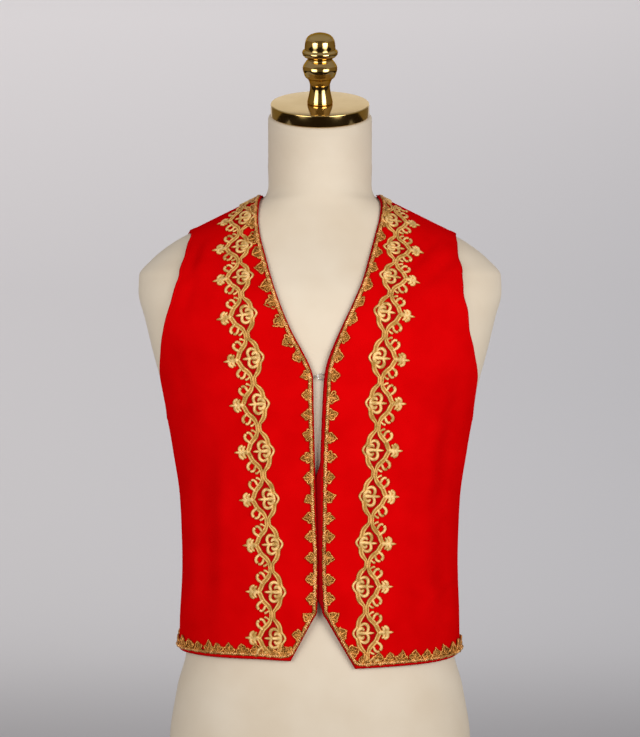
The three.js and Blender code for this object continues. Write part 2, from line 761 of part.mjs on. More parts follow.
// The brass cap on the neck and the finial on the cap, in one group that leans with the neck's top.
function makeCapAndFinial() {
  const group = new THREE.Group();
  group.position.set(0, NECK_TOP.y, NECK_TOP.z);
  group.rotation.x = NECK_TILT;
  const cap = brass("neck_cap", turned(plateOutline(CAP.radius, CAP.thickness, CAP.round), 36));
  cap.position.z = CONTACT_GAP;
  const outline = [[0, 0], ...FINIAL.height.map((h, i) => [FINIAL.radius[i], h]), [0, FINIAL_TOP]];
  const finial = brass("finial", turned(outline, 24));
  finial.position.z = CAP.thickness + 2 * CONTACT_GAP;
  group.add(cap, finial);
  return group;
}

// The round base and the turned post that carries the form.
function makeStand() {
  const base = painted("stand_base", turned(plateOutline(BASE.radius, BASE.thickness, BASE.round), 40));
  const height = FORM_BOTTOM_Z - BASE.thickness - 2 * CONTACT_GAP;
  const { radius, flangeRadius, flangeThickness } = POST;
  const outline = [
    [0, 0],
    [flangeRadius, 0],
    [flangeRadius, flangeThickness],
    [radius, flangeThickness + 5],
    [radius, height - flangeThickness - 5],
    [flangeRadius, height - flangeThickness],
    [flangeRadius, height],
    [0, height],
  ];
  const post = painted("stand_post", turned(outline, 24));
  post.position.z = BASE.thickness + CONTACT_GAP;
  return [base, post];
}

// ---------------------------------------------------------------- the whole

const group = new THREE.Group();
group.add(
  ...makeFront("right"),
  ...makeFront("left"),
  ...makeBack(),
  ...makeHookAndEye(),
  makeTorso(),
  makeCapAndFinial(),
  ...makeStand(),
);

export default group;
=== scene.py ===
"""A red sleeveless waistcoat with gold lace on a limbless dress form with a brass cap, on a round base.

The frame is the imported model: metres, +Z up, the front of the waistcoat faces -Y and the wearer's left is
at +X. Shapes are worked out in millimetres and made metres when they go into a mesh.
"""

import bpy
import numpy as np
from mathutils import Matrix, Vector


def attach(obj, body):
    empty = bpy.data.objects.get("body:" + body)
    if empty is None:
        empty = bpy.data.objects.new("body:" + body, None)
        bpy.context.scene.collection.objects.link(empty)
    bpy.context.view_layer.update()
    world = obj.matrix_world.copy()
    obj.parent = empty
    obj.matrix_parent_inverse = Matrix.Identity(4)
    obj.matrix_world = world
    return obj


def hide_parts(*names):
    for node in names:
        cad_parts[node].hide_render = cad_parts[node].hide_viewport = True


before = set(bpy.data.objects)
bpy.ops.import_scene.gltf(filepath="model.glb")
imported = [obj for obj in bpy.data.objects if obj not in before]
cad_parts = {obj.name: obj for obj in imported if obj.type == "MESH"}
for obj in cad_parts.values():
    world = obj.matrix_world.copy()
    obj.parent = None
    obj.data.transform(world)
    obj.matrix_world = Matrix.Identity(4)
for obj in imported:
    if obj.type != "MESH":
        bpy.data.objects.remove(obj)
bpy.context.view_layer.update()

MM = 0.001
FRONT, BACK = -1, 1
SIDES = {"right": -1, "left": 1}  # the wearer's sides, and the sign of x on each
chance = np.random.default_rng(20)

# ------------------------------------------------------------------ tables


def table(text):
    """One array of numbers for each column, from a line of column names and the rows under it."""
    names, *rows = [line.split() for line in text.splitlines() if line.strip()]
    return dict(zip(names, np.array(rows, float).T))


# Level sections of the dressed figure's outer face: half its width, its depth in front of and behind the
# shoulder line, where that line lies, and the power that squares the oval.
SECTIONS = table("""
      z  half front  back middle power
    145   154   102   115      4   2.3
    165   161   106   121      4   2.3
    230   171   110   129      4   2.3
    290   163   109 123.5      3   2.3
    329 156.5   108   118      2  2.25
    370   156   107   113      1  2.25
    430 154.3   106 108.5      0   2.2
    470 155.3   108 107.5      0   2.2
    502   157   111   109      0   2.2
    550   164   117 112.5      0  2.25
    589   171   121   117      0   2.3
    620   180   124   121      0  2.35
    665   192   125   125      0   2.4
    700   200   119   125      0   2.4
    730   207   108   122      0   2.3
    750   206  97.5   117      1   2.2
    770   190    86   108      2   2.1
    790   164    76    97      4     2
    810 125.5  68.5    87      6     2
    830  85.2    64    77      8     2
    837    71    63    73      8     2
    840    65  62.5    71      8     2
    850  61.5  61.5    66      8     2
    872  60.8    61  61.5      6     2
""")

# The clear space between the form and the inside of the cloth, at the side, front and back.
EASE = table("""
      z side front back
    145  0.5   0.5  0.5
    290  1.5   1.5    2
    329    5     4  4.5
    372    8     8  5.5
    400   11  11.5  6.5
    430   13    13    7
    470   12    13    7
    502   10    11  6.3
    540    7     6    5
    570  4.7   4.4  4.3
    589    4     4    4
    665    3   3.4  3.4
    730    2   2.5  2.5
    770  1.2   1.5  1.5
    795  0.9     1  1.2
    815  0.9   1.2    3
    832    2   1.8  3.6
    852  1.6   1.6    2
    872  0.5   0.5  0.5
""")

# How far the front edge stands from the centre line: the neckline, the closed edge and the cutaway.
FRONT_EDGE = table("""
      z right left
    318  37.8 40.5
    372   8.6    9
    382   3.3  3.3
    400   2.5  1.9
    440   2.6  0.9
    478   3.8  0.6
    503   4.4  0.4
    537   5.2  0.9
    568   5.9  1.9
    600   6.6  3.2
    636   7.4  5.4
    648    11  7.6
    662    18 12.2
    688  31.7 23.3
    716  43.2 36.4
    742    52 47.2
    767    59 54.4
    793  65.8 61.6
    812  68.2 66.6
    828  67.8 68.6
    840    65   65
""")

# Height of the front hem, by its distance from the centre line.
HEM = table("""
      x right  left
     30   329 320.5
     76 330.5   322
    118 330.5 323.5
    147 331.5   326
    157   333   329
""")

# The armhole, as its distance in front of and behind the shoulder line.
ARMHOLE = table("""
        z right left back
      589     0    0    0
    590.5    12   12   12
      595    24   24   25
      603    33   34   38
      615    40   43   50
      634    46 51.5   62
      664    63 71.4   75
      690  72.5 80.3   82
      716    78 80.8   86
      742  72.5 72.3   84
      768    57 54.8   68
      784    42 37.2   47
      794    30 19.2   27
    797.6    18    0   13
    798.6    13    0    9
    800.2     0    0    0
""")

# The middle of the wide galloon, by its distance from the centre line.
GALLOON = table("""
      z right left
    320    60   59
    405    60   58
    455    63 61.5
    557    72 68.5
    655    83 75.5
    700  90.5 80.5
    745  95.5   88
    778    97 92.5
    817    93   89
""")

REPEAT = 50.0  # the chart's own length for one repeat
MIDDLE_OF_CHART = 8.7  # the strip's middle lies this far out from the line of crossings

# Heights of the bud tips up each galloon.
BUD_TIPS = {
    "right": [353.7, 403.6, 453.3, 502.3, 554.1, 604.6, 652, 697.6, 739.9, 774.2],
    "left": [359.8, 408.9, 455, 506.1, 556, 606.8, 653.5, 700.4, 738.7, 772],
}

# Folds: a soft trough or, with a negative depth, a ridge. Each runs up its panel along a slanting line
# between two heights, and fades at both ends and to both sides. The large ones come first, then the
# slight ones.
FOLDS = table("""
    face    x low high slant width depth
      -1 -127 300  615  0.01    14   5.2
      -1 -152 290  420     0     8  -2.2
      -1 -108 350  600  0.02     9  -1.5
      -1 -128 735  800   0.3     8  -1.6
      -1 -139 735  790   0.3     6   1.8
      -1  138 300  540 -0.02    13   4.4
      -1  152 300  460     0     8    -1
      -1  145 480  665  0.14    12   5.6
      -1  119 420  600   0.1    10  -1.4
      -1  128 712  792   1.0    13   3.2
      -1  108 722  770   1.2     8   1.2
       1 -122 340  590  0.05    17   3.6
       1  118 350  570 -0.04    16   3.2
       1    0 340  540  0.01    20   2.2
       1  -60 620  765  -0.2    24   1.6
       1   66 630  760  0.22    22   1.4

      -1 -152 560  700  -0.2     9   1.4
      -1 -141 690  775  0.25     7   1.2
      -1 -116 700  800   0.2     9   1.1
      -1  -90 340  470  0.06    13   1.2
      -1  -25 390  560  0.03     9   0.5
      -1  -30 560  640   0.3    10   0.6
      -1  118 745  805   0.9     6   1.2
      -1  104 700  790     1     8    -1
      -1  146 690  750   0.9     8   1.4
      -1  108 350  470 -0.05    11   1.2
      -1  141 385  430   0.9     8  -1.4
      -1   30 395  500  0.02     9   0.6
       1  -85 335  450  0.08    12   1.1
       1   84 335  470 -0.06    12   1.1
       1 -140 560  690  -0.2    10   1.3
       1  138 560  700  0.22    10   1.2
       1  -35 480  640 -0.05    14   0.8
       1   40 470  620  0.06    14   0.7
""")

UNDERARM_Z, CHEST_Z = 589, 640
SIDE_SEAM_FOOT_Z = 329.0
SHOULDER_TIP = {"right": (145.5, 800.2), "left": (152.5, 796.5)}  # x and z
NECK_POINT_X, NECK_POINT_Z = 65, 840
BACK_NECK_Z, BACK_HEM_DIP = 827, 3


def along(rows, column, at, key="z"):
    """A column's value at a height or distance: a cubic through the rows that never overshoots, with the
    weighted harmonic mean of the two neighbouring rises as its slope at each row."""
    keys, value = rows[key], rows[column]
    step = np.diff(keys)
    rise = np.diff(value) / step
    turning = rise[:-1] * rise[1:] <= 0
    before, after = 2 * step[1:] + step[:-1], step[1:] + 2 * step[:-1]
    first, second = np.where(turning, 1, rise[:-1]), np.where(turning, 1, rise[1:])
    inner = np.where(turning, 0, (before + after) / (before / first + after / second))
    slope = np.concatenate([rise[:1], inner, rise[-1:]])
    i = np.clip(np.searchsorted(keys, at, side="right") - 1, 0, len(keys) - 2)
    t, h = np.clip((at - keys[i]) / step[i], 0, 1), step[i]
    return (
        (1 + 2 * t) * (1 - t) ** 2 * value[i]
        + t * (1 - t) ** 2 * h * slope[i]
        + t * t * (3 - 2 * t) * value[i + 1]
        + t * t * (t - 1) * h * slope[i + 1]
    )


def mix(a, b, t):
    return a + (b - a) * t


def smoothstep(low, high, value):
    t = np.clip((value - low) / (high - low), 0, 1)
    return t * t * (3 - 2 * t)


def unit(v):
    return v / np.linalg.norm(v, axis=-1, keepdims=True)


def running_length(p):
    """Length along lines of points up to each point. The first axis runs along the lines."""
    steps = np.linalg.norm(np.diff(p, axis=0), axis=-1)
    return np.concatenate([np.zeros_like(steps[:1]), np.cumsum(steps, 0)])


def between(at, keys, rows):
    """Rows of numbers, one for each key, looked up at other places by straight lines."""
    return np.stack([np.interp(at, keys, column) for column in rows.T], -1)


# ------------------------------------------------------------------ the dressed figure's outer face


def section_at(z):
    return [along(SECTIONS, name, z) for name in ("half", "front", "back", "middle", "power")]


def outside(p):
    """Zero on the face: |x / half width| ^ power + |(y - middle) / depth| ^ power - 1."""
    x, y, z = np.moveaxis(p, -1, 0)
    half, front, back, middle, power = section_at(z)
    depth = np.where(y < middle, front, back)
    return (np.abs(x) / half) ** power + (np.abs(y - middle) / depth) ** power - 1


def gradient(p):
    """The slopes of that function along x, y and z."""
    x, y, z = np.moveaxis(p, -1, 0)
    half, front, back, middle, power = section_at(z)
    depth = np.where(y < middle, front, back)
    step = 0.4  # millimetres up and down for the slope along z
    lift = np.array([0, 0, step])
    return np.stack(
        [
            power * (np.abs(x) / half) ** (power - 1) * np.sign(x) / half,
            power * (np.abs(y - middle) / depth) ** (power - 1) * np.sign(y - middle) / depth,
            (outside(p + lift) - outside(p - lift)) / (2 * step),
        ],
        -1,
    )


def outward(p):
    return unit(gradient(p))


def to_face(p):
    """Moves points onto the face, by Newton's steps along the slope."""
    for _ in range(4):
        g = gradient(p)
        p = p - (outside(p) / (g * g).sum(-1))[..., None] * g
    return p


def on_face(x, z, face):
    """The face's point at x and z: y = middle + face * depth * (1 - |x / half| ^ power) ^ (1 / power)."""
    half, front, back, middle, power = section_at(z)
    depth = front if face == FRONT else back
    across = np.minimum(1, np.abs(x) / half)
    y = middle + face * depth * (1 - across**power) ** (1 / power)
    return np.stack(np.broadcast_arrays(x, y, z), -1)


def cloth_lift(p):
    """How far the folds move the cloth out from the face. Each fold is depth * (1 - up ^ 2) ^ 2 *
    exp(-off ^ 2), and all fade out towards the side and shoulder seams."""
    x, y, z = np.moveaxis(p, -1, 0)
    half, front, back, middle, power = section_at(z)
    face = np.where(y < middle, FRONT, BACK)
    lift = np.zeros_like(x)
    for side, at, low, high, slant, width, depth in zip(*FOLDS.values()):
        centre = (low + high) / 2
        up = np.clip((z - centre) / (high - centre), -1, 1)
        off = (x - at - slant * (z - centre)) / width
        lift -= np.where(face == side, depth * (1 - up * up) ** 2 * np.exp(-off * off), 0)
    away_from_seams = np.abs(y - middle) / np.where(face == FRONT, front, back)
    return lift * smoothstep(0.02, 0.22, away_from_seams)


def outer_edge_x(z, face, side):
    """Distance from the centre line of the armhole or, below it, of the side seam."""
    half, front, back, _, power = section_at(z)
    column, depth = (side, front) if face == FRONT else ("back", back)
    reach = np.clip(along(ARMHOLE, column, z) / depth, 0, 1)
    x = half * (1 - reach**power) ** (1 / power)
    tip_x, tip_z = SHOULDER_TIP[side]
    return np.where(z <= UNDERARM_Z, half, np.where(z >= tip_z, tip_x, x))


def shoulder_z(x):
    """Height of the shoulder seam, on the face's ridge, where the half width equals x. The height is
    halved in on, from between a place below the shoulder tips and the neck point."""
    low, high = np.full_like(x, 770.0), np.full_like(x, float(NECK_POINT_Z))
    for _ in range(30):
        z = (low + high) / 2
        wider = along(SECTIONS, "half", z) > x
        low, high = np.where(wider, z, low), np.where(wider, high, z)
    return (low + high) / 2


# ------------------------------------------------------------------ meshes and materials


def in_scene(name, data):
    """An object of its own for a mesh, a light or a camera."""
    made = bpy.data.objects.new(name, data)
    bpy.context.scene.collection.objects.link(made)
    return made


def ring_quads(levels, around):
    """Quads between rings of points, numbered level by level and closed round each ring."""
    k = np.arange(around)
    step = np.arange(levels - 1)[:, None] * around
    a, b = step + k, step + (k + 1) % around
    return np.stack([a, b, b + around, a + around], -1).reshape(-1, 4)


def pole_fans(levels, around):
    """The triangles that close such a skin at a point below and a point above, which follow the rings."""
    k = np.arange(around)
    after, last, pole = (k + 1) % around, (levels - 1) * around, np.full(around, levels * around)
    return np.concatenate([np.stack([after, k, pole], -1), np.stack([last + k, last + after, pole + 1], -1)])


def new_mesh(name, vertices, faces, corner_uv, material, slot, *replaced, shade=None):
    """A piece from its vertices in millimetres, its faces as arrays of quads or triangles, and the UV of
    each face corner, riding on the one body and standing for the named nodes. shade, if given, is a number
    for each vertex that its material reads."""
    mesh = bpy.data.meshes.new(name)
    sizes = np.concatenate([np.full(len(f), f.shape[1]) for f in faces])
    corners = np.concatenate([f.ravel() for f in faces])
    mesh.vertices.add(len(vertices))
    mesh.vertices.foreach_set("co", (np.asarray(vertices) * MM).astype(np.float32).ravel())
    mesh.loops.add(len(corners))
    mesh.loops.foreach_set("vertex_index", corners.astype(np.int32))
    mesh.polygons.add(len(sizes))
    mesh.polygons.foreach_set("loop_start", (np.cumsum(sizes) - sizes).astype(np.int32))
    mesh.polygons.foreach_set("use_smooth", np.ones(len(sizes), bool))
    if corner_uv is not None:
        uv = mesh.uv_layers.new(name="UVMap")
        uv.data.foreach_set("uv", np.concatenate(corner_uv).astype(np.float32).ravel())
    if shade is not None:
        layer = mesh.attributes.new("shade", "FLOAT", "POINT")
        layer.data.foreach_set("value", shade.astype(np.float32).ravel())
    mesh.update(calc_edges=True)
    mesh.validate()
    mesh.materials.append(material)
    piece = in_scene(name, mesh)
    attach(piece, "root")
    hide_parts(*replaced)
    return piece


class Finish:
    """A node material around one Principled shader, with short calls for the nodes that it uses."""

    def __init__(self, name, **sockets):
        self.material = bpy.data.materials.new(name)
        self.material.use_nodes = True
        self.nodes = self.material.node_tree.nodes
        self.links = self.material.node_tree.links
        self.shader = self.nodes["Principled BSDF"]
        for socket, value in sockets.items():
            self.shader.inputs[socket.replace("_", " ")].default_value = value
        self.coordinates = self.nodes.new("ShaderNodeTexCoord")

    def node(self, kind, inputs=None, **settings):
        made = self.nodes.new(kind)
        for key, value in settings.items():
            setattr(made, key, value)
        for key, value in (inputs or {}).items():
            if isinstance(value, bpy.types.NodeSocket):
                self.links.new(value, made.inputs[key])
            else:
                made.inputs[key].default_value = value
        return made

    def noise(self, per_metre, detail=2.0, stretch=(1, 1, 1)):
        where = {"Vector": self.coordinates.outputs["Object"], "Scale": stretch}
        place = self.node("ShaderNodeMapping", where).outputs[0]
        cloud = {"Vector": place, "Scale": per_metre, "Detail": detail}
        return self.node("ShaderNodeTexNoise", cloud).outputs["Fac"]

    def threads(self, scale, distortion, direction):
        """Fine parallel waves over the piece's own UV."""
        waves = {"Vector": self.coordinates.outputs["UV"], "Scale": scale, "Distortion": distortion}
        return self.node("ShaderNodeTexWave", waves, bands_direction=direction).outputs["Fac"]

    def shade(self):
        """The number that the mesh holds for each vertex."""
        return self.node("ShaderNodeAttribute", attribute_name="shade").outputs["Fac"]

    def blend(self, factor, a, b):
        made = self.node("ShaderNodeMix", data_type="RGBA", blend_type="MIX")
        for socket, value in zip((made.inputs[0], made.inputs[6], made.inputs[7]), (factor, a, b)):
            if isinstance(value, bpy.types.NodeSocket):
                self.links.new(value, socket)
            else:
                socket.default_value = (*value, 1)
        return made.outputs[2]

    def ramp(self, factor, *stops):
        made = self.node("ShaderNodeValToRGB", {"Fac": factor})
        elements = made.color_ramp.elements
        while len(elements) < len(stops):
            elements.new(0.5)
        for element, (at, colour) in zip(elements, stops):
            element.position, element.color = at, (*colour, 1)
        return made.outputs["Color"]

    def spread(self, factor, low, high):
        """low where the factor is 0 and high where it is 1."""
        limits = {"Value": factor, "To Min": low, "To Max": high}
        return self.node("ShaderNodeMapRange", limits).outputs[0]

    def paint(self, socket, value):
        self.links.new(value, self.shader.inputs[socket])

    def bump(self, height, millimetres, strength):
        relief = {"Height": height, "Distance": millimetres * MM, "Strength": strength}
        made = self.node("ShaderNodeBump", relief)
        before = self.shader.inputs["Normal"].links
        if before:
            self.links.new(before[0].from_socket, made.inputs["Normal"])
        self.links.new(made.outputs[0], self.shader.inputs["Normal"])


def red_cloth():
    """Smooth wool cloth: a poppy red that varies a little, with painted shade on a turned edge and inside
    the lace's almonds, a short nap and a fine twill."""
    cloth = Finish(
        "red_cloth", Roughness=0.92, Specular_IOR_Level=0.0, Sheen_Weight=0.22, Sheen_Roughness=0.45,
        Sheen_Tint=(1, 0.0, 0.004, 1),
    )
    # The third colour is painted shade, for turned edges and for the cloth inside the lace's almonds.
    poppy, bright_poppy, painted_shade_red = (0.54, 0.0004, 0.0010), (0.62, 0.0008, 0.0016), (0.30, 0.0015, 0.003)
    tone = cloth.ramp(cloth.noise(28, 4), (0.3, poppy), (0.7, bright_poppy))
    cloth.paint("Base Color", cloth.blend(cloth.shade(), tone, painted_shade_red))
    cloth.bump(cloth.noise(520, 3), 0.18, 0.5)
    cloth.bump(cloth.threads(420.0, 0.6, "DIAGONAL"), 0.06, 0.35)
    return cloth.material


def gold_lace():
    """Matte gold thread: cords wrapped in fine metal thread that lies across them, with painted shade, olive
    and dull, where they lie low and a painted highlight, pale, where they stand high."""
    gold = Finish("gold_lace", Metallic=0.25, Roughness=0.5, Specular_IOR_Level=0.2)
    # Painted shade and highlight by the height share: dark olive where the cords lie low, pale gold where
    # they stand high.
    relief = gold.ramp(
        gold.shade(),
        (0.06, (0.15, 0.045, 0.004)),
        (0.42, (0.42, 0.20, 0.03)),
        (0.7, (0.90, 0.49, 0.15)),
        (0.92, (1.0, 0.70, 0.32)),
    )
    worn = gold.ramp(gold.noise(150, 3), (0.42, (0.0,) * 3), (0.66, (0.85,) * 3))
    gold.paint("Base Color", gold.blend(worn, relief, (0.42, 0.22, 0.04)))
    gold.bump(gold.threads(900.0, 1.5, "X"), 0.12, 0.7)
    gold.bump(gold.noise(900, 2), 0.1, 0.4)
    return gold.material


def gold_gimp():
    """Shiny gold thread, darker and richer than the lace, with glints of its own shine, painted shade where
    the strands lie low and painted highlights where they stand high.
    """
    gold = Finish("gold_gimp", Metallic=0.55, Specular_IOR_Level=0.5)
    # Painted shade and highlight by the height share: dark brown on the tape and low strands, bright gold on
    # the strands' tops.
    relief = gold.ramp(
        gold.shade(),
        (0.08, (0.13, 0.035, 0.002)),
        (0.38, (0.42, 0.16, 0.02)),
        (0.66, (0.88, 0.37, 0.085)),
        (0.92, (1.0, 0.60, 0.27)),
    )
    worn = gold.ramp(gold.noise(180, 3), (0.42, (0.0,) * 3), (0.62, (0.85,) * 3))
    gold.paint("Base Color", gold.blend(worn, relief, (0.34, 0.145, 0.018)))
    gold.paint("Roughness", gold.spread(gold.noise(400, 2), 0.16, 0.4))
    gold.bump(gold.threads(700.0, 2.0, "DIAGONAL"), 0.15, 0.8)
    return gold.material


def cream_jersey():
    """Stretched cream jersey: fine knit ribs and a faint cloudiness."""
    jersey = Finish("cream_jersey", Roughness=0.7, Specular_IOR_Level=0.25, Sheen_Weight=0.1)
    tone = jersey.ramp(jersey.noise(14, 3), (0.3, (0.66, 0.55, 0.415)), (0.7, (0.715, 0.615, 0.485)))
    jersey.paint("Base Color", tone)
    jersey.bump(jersey.noise(700, 2, stretch=(1, 1, 0.35)), 0.08, 0.4)
    return jersey.material


def polished_brass(name, edge_on):
    """Polished brass with a faint cloud of age, and the tint it takes seen edge on."""
    brass = Finish(name, Metallic=1.0, Specular_Tint=(*edge_on, 1))
    tone = brass.ramp(brass.noise(35, 4), (0.3, (0.76, 0.51, 0.17)), (0.75, (0.86, 0.61, 0.25)))
    brass.paint("Base Color", tone)
    brass.paint("Roughness", brass.spread(brass.noise(60, 3), 0.07, 0.16))
    return brass.material


def satin_paint():
    """Dark satin paint with a slight unevenness."""
    paint = Finish("satin_paint", Base_Color=(0.03, 0.028, 0.026, 1), Specular_IOR_Level=0.5)
    paint.paint("Roughness", paint.spread(paint.noise(40, 3), 0.3, 0.5))
    paint.bump(paint.noise(900, 2), 0.03, 0.3)
    return paint.material


def steel_wire():
    """Plain drawn wire."""
    steel = Finish("steel_wire", Metallic=1.0, Base_Color=(0.62, 0.61, 0.6, 1))
    steel.paint("Roughness", steel.spread(steel.noise(800, 2), 0.2, 0.4))
    return steel.material


RED, LACE, GIMP = red_cloth(), gold_lace(), gold_gimp()
BRASS = polished_brass("polished_brass", (1.0, 1.0, 1.0))
AGED_BRASS = polished_brass("aged_brass", (0.36, 0.22, 0.05))
JERSEY, PAINT, STEEL = cream_jersey(), satin_paint(), steel_wire()

# ------------------------------------------------------------------ cloth panels

WALL = 1.8  # the cloth with its stiffening, millimetres
ROLL_RADIUS, SEAM_RADIUS = 1.7, 1.0  # roundness of a turned edge and of a seam
ROLL_RISE, ROLL_DIP = 0.5, 0.3  # a turned edge stands up by the first and has a line as deep as the second
ROLL_AT, DIP_AT, ROLL_WIDTH = 1.6, 4, 1.1  # how far in those two lie, and half their width
EDGE_PAINTED_SHADE = 1.7  # how far in from a turned edge its painted shade reaches
# How much painted shade the cloth takes inside the galloon's almonds, where the cords shade it.
ALMOND_PAINTED_SHADE = 0.6
CELL = 2.6  # the grid's size away from the edges
EDGE_STEPS = np.array([0, 0.3, 0.7, 1.2, 1.8, 2.6, 3.6])
LOW_LENGTH, UPPER_LENGTH = CHEST_Z - 330, 240  # a panel's length below and above the chest level
FRONT_WIDTH, SHOULDER_LENGTH = 235, 190  # lengths that the columns of a front and of a shoulder are set for


def steps_over(length):
    """Positions from 0 to 1 over a length: small steps at both ends and even ones between."""
    count = int((length - 2 * EDGE_STEPS[-1]) / CELL)
    even = np.linspace(EDGE_STEPS[-1], length - EDGE_STEPS[-1], count + 1)[1:-1]
    return np.concatenate([EDGE_STEPS, even, length - EDGE_STEPS[::-1]]) / length


def panel_rows(bottom, top):
    """Heights over a panel's columns: even levels up to the chest, then by the 1.8th power of the way down
    from the top, because there the cloth turns over towards the shoulder."""
    low = steps_over(2 * LOW_LENGTH)
    low = low[low < 0.5] * 2
    upper = steps_over(2 * UPPER_LENGTH)
    upper = 1 - upper[upper <= 0.5][::-1] * 2
    rows = [mix(bottom, CHEST_Z, t) for t in low]
    rows += [top - (top - CHEST_Z) * (1 - t) ** 1.8 for t in upper]
    return np.stack(rows, 1)


def spread_over(share, z):
    """How far across a panel a share of its columns reaches: 1 - (1 - share) ^ power, where the power
    goes from 2 at the chest to 1.2 at the shoulder."""
    return 1 - (1 - share) ** mix(2, 1.2, smoothstep(600, 700, z))


def swung_over(plain_x, top_x, top_z, z):
    """The columns' x, brought over to where they end on the shoulder seam."""
    rise = np.clip((z - CHEST_Z) / (top_z - CHEST_Z), 0, None)
    return plain_x(z) + (top_x - plain_x(top_z)) * rise**2


def front_grid(side):
    """A front's points, column by column from the front edge to the armhole or side seam, hem to seam."""
    t = steps_over(FRONT_WIDTH)[:, None]

    def plain_x(z):
        edge = along(FRONT_EDGE, side, z)
        return mix(edge, outer_edge_x(z, FRONT, side), spread_over(t, z))

    tip_x, tip_z = SHOULDER_TIP[side]
    top_x = mix(NECK_POINT_X, tip_x, spread_over(t, tip_z))
    top_z = shoulder_z(top_x)
    bottom = along(HEM, side, plain_x(np.full_like(t, HEM[side][0])), key="x")
    z = panel_rows(bottom[:, 0], top_z[:, 0])
    return on_face(SIDES[side] * swung_over(plain_x, top_x, top_z, z), z, FRONT)


TURNED_STEPS = np.array([1, 0.85, 0.7, 0.5, 0.32, 0.16])[:, None, None]


def turned_in(edge, away):
    """Columns beside a panel's edge column for its turned-in edge, outermost first. At each height its
    width is 7 mm where it closes the gap between the fronts and 1 mm elsewhere, and it leans inwards by
    0.62 of its width."""
    z = edge[:, 2]
    width = mix(1, 7, smoothstep(384, 402, z) * (1 - smoothstep(520, 545, z)))[None, :, None]
    normal = outward(edge)
    level = unit(np.array([away, 0, 0]) - normal * normal[:, :1] * away)
    return edge + level * width * TURNED_STEPS - normal * width * 0.62 * TURNED_STEPS


def back_hem_z(x):
    """The back hem joins the ends of the two front hems in a straight line and dips in the middle."""
    reach = along(SECTIONS, "half", SIDE_SEAM_FOOT_Z)
    ends = [along(HEM, side, reach, key="x") for side in SIDES]
    return mix(ends[0], ends[1], (x / reach + 1) / 2) - BACK_HEM_DIP * (1 - (x / reach) ** 2)


def back_neck_z(sine):
    """The back neckline dips to the nape: its height goes by |sine| ^ 3, where x = 65 sine."""
    return mix(BACK_NECK_Z, NECK_POINT_Z, np.abs(sine) ** 3)


def back_grid():
    """The back's points, column by column from the right armhole round to the left one. The columns that
    end on the neckline have a share of 0."""
    shoulder, turn = 1 - steps_over(SHOULDER_LENGTH)[:-1], np.linspace(-np.pi / 2, np.pi / 2, 47)
    share = np.concatenate([shoulder, np.zeros(len(turn)), shoulder[::-1]])[:, None]
    ones = np.ones(len(shoulder))
    sine = np.concatenate([-ones, np.sin(turn), ones])[:, None]

    def plain_x(z):
        ends = [outer_edge_x(z, BACK, side) for side in SIDES]
        return sine * mix(NECK_POINT_X, np.where(sine < 0, *ends), spread_over(share, z))

    tip_x = np.where(sine < 0, SHOULDER_TIP["right"][0], SHOULDER_TIP["left"][0])
    top = mix(NECK_POINT_X, tip_x, 1 - (1 - share) ** 1.2)
    top_z = np.where(share > 0, shoulder_z(top), back_neck_z(sine))
    bottom = back_hem_z(plain_x(np.full_like(share, SIDE_SEAM_FOOT_Z)))
    z = panel_rows(bottom[:, 0], top_z[:, 0])
    return on_face(swung_over(plain_x, sine * top, top_z, z), z, BACK)


def border_distance(p, axis, from_end):
    """Distance of each grid point from one border of the grid, square to that border."""
    q = np.moveaxis(p, axis, 0)
    q = q[::-1] if from_end else q
    lean = np.cross(unit(q[3] - q[0]), unit(np.gradient(q[0], axis=0)))
    away = running_length(q) * np.linalg.norm(lean, axis=-1)
    away = away[::-1] if from_end else away
    return np.moveaxis(away, 0, axis)


def bell(distance, width):
    return np.exp(-((distance / width) ** 2))


def grid_quads(n):
    return np.stack([n[:-1, :-1], n[1:, :-1], n[1:, 1:], n[:-1, 1:]], -1).reshape(-1, 4)


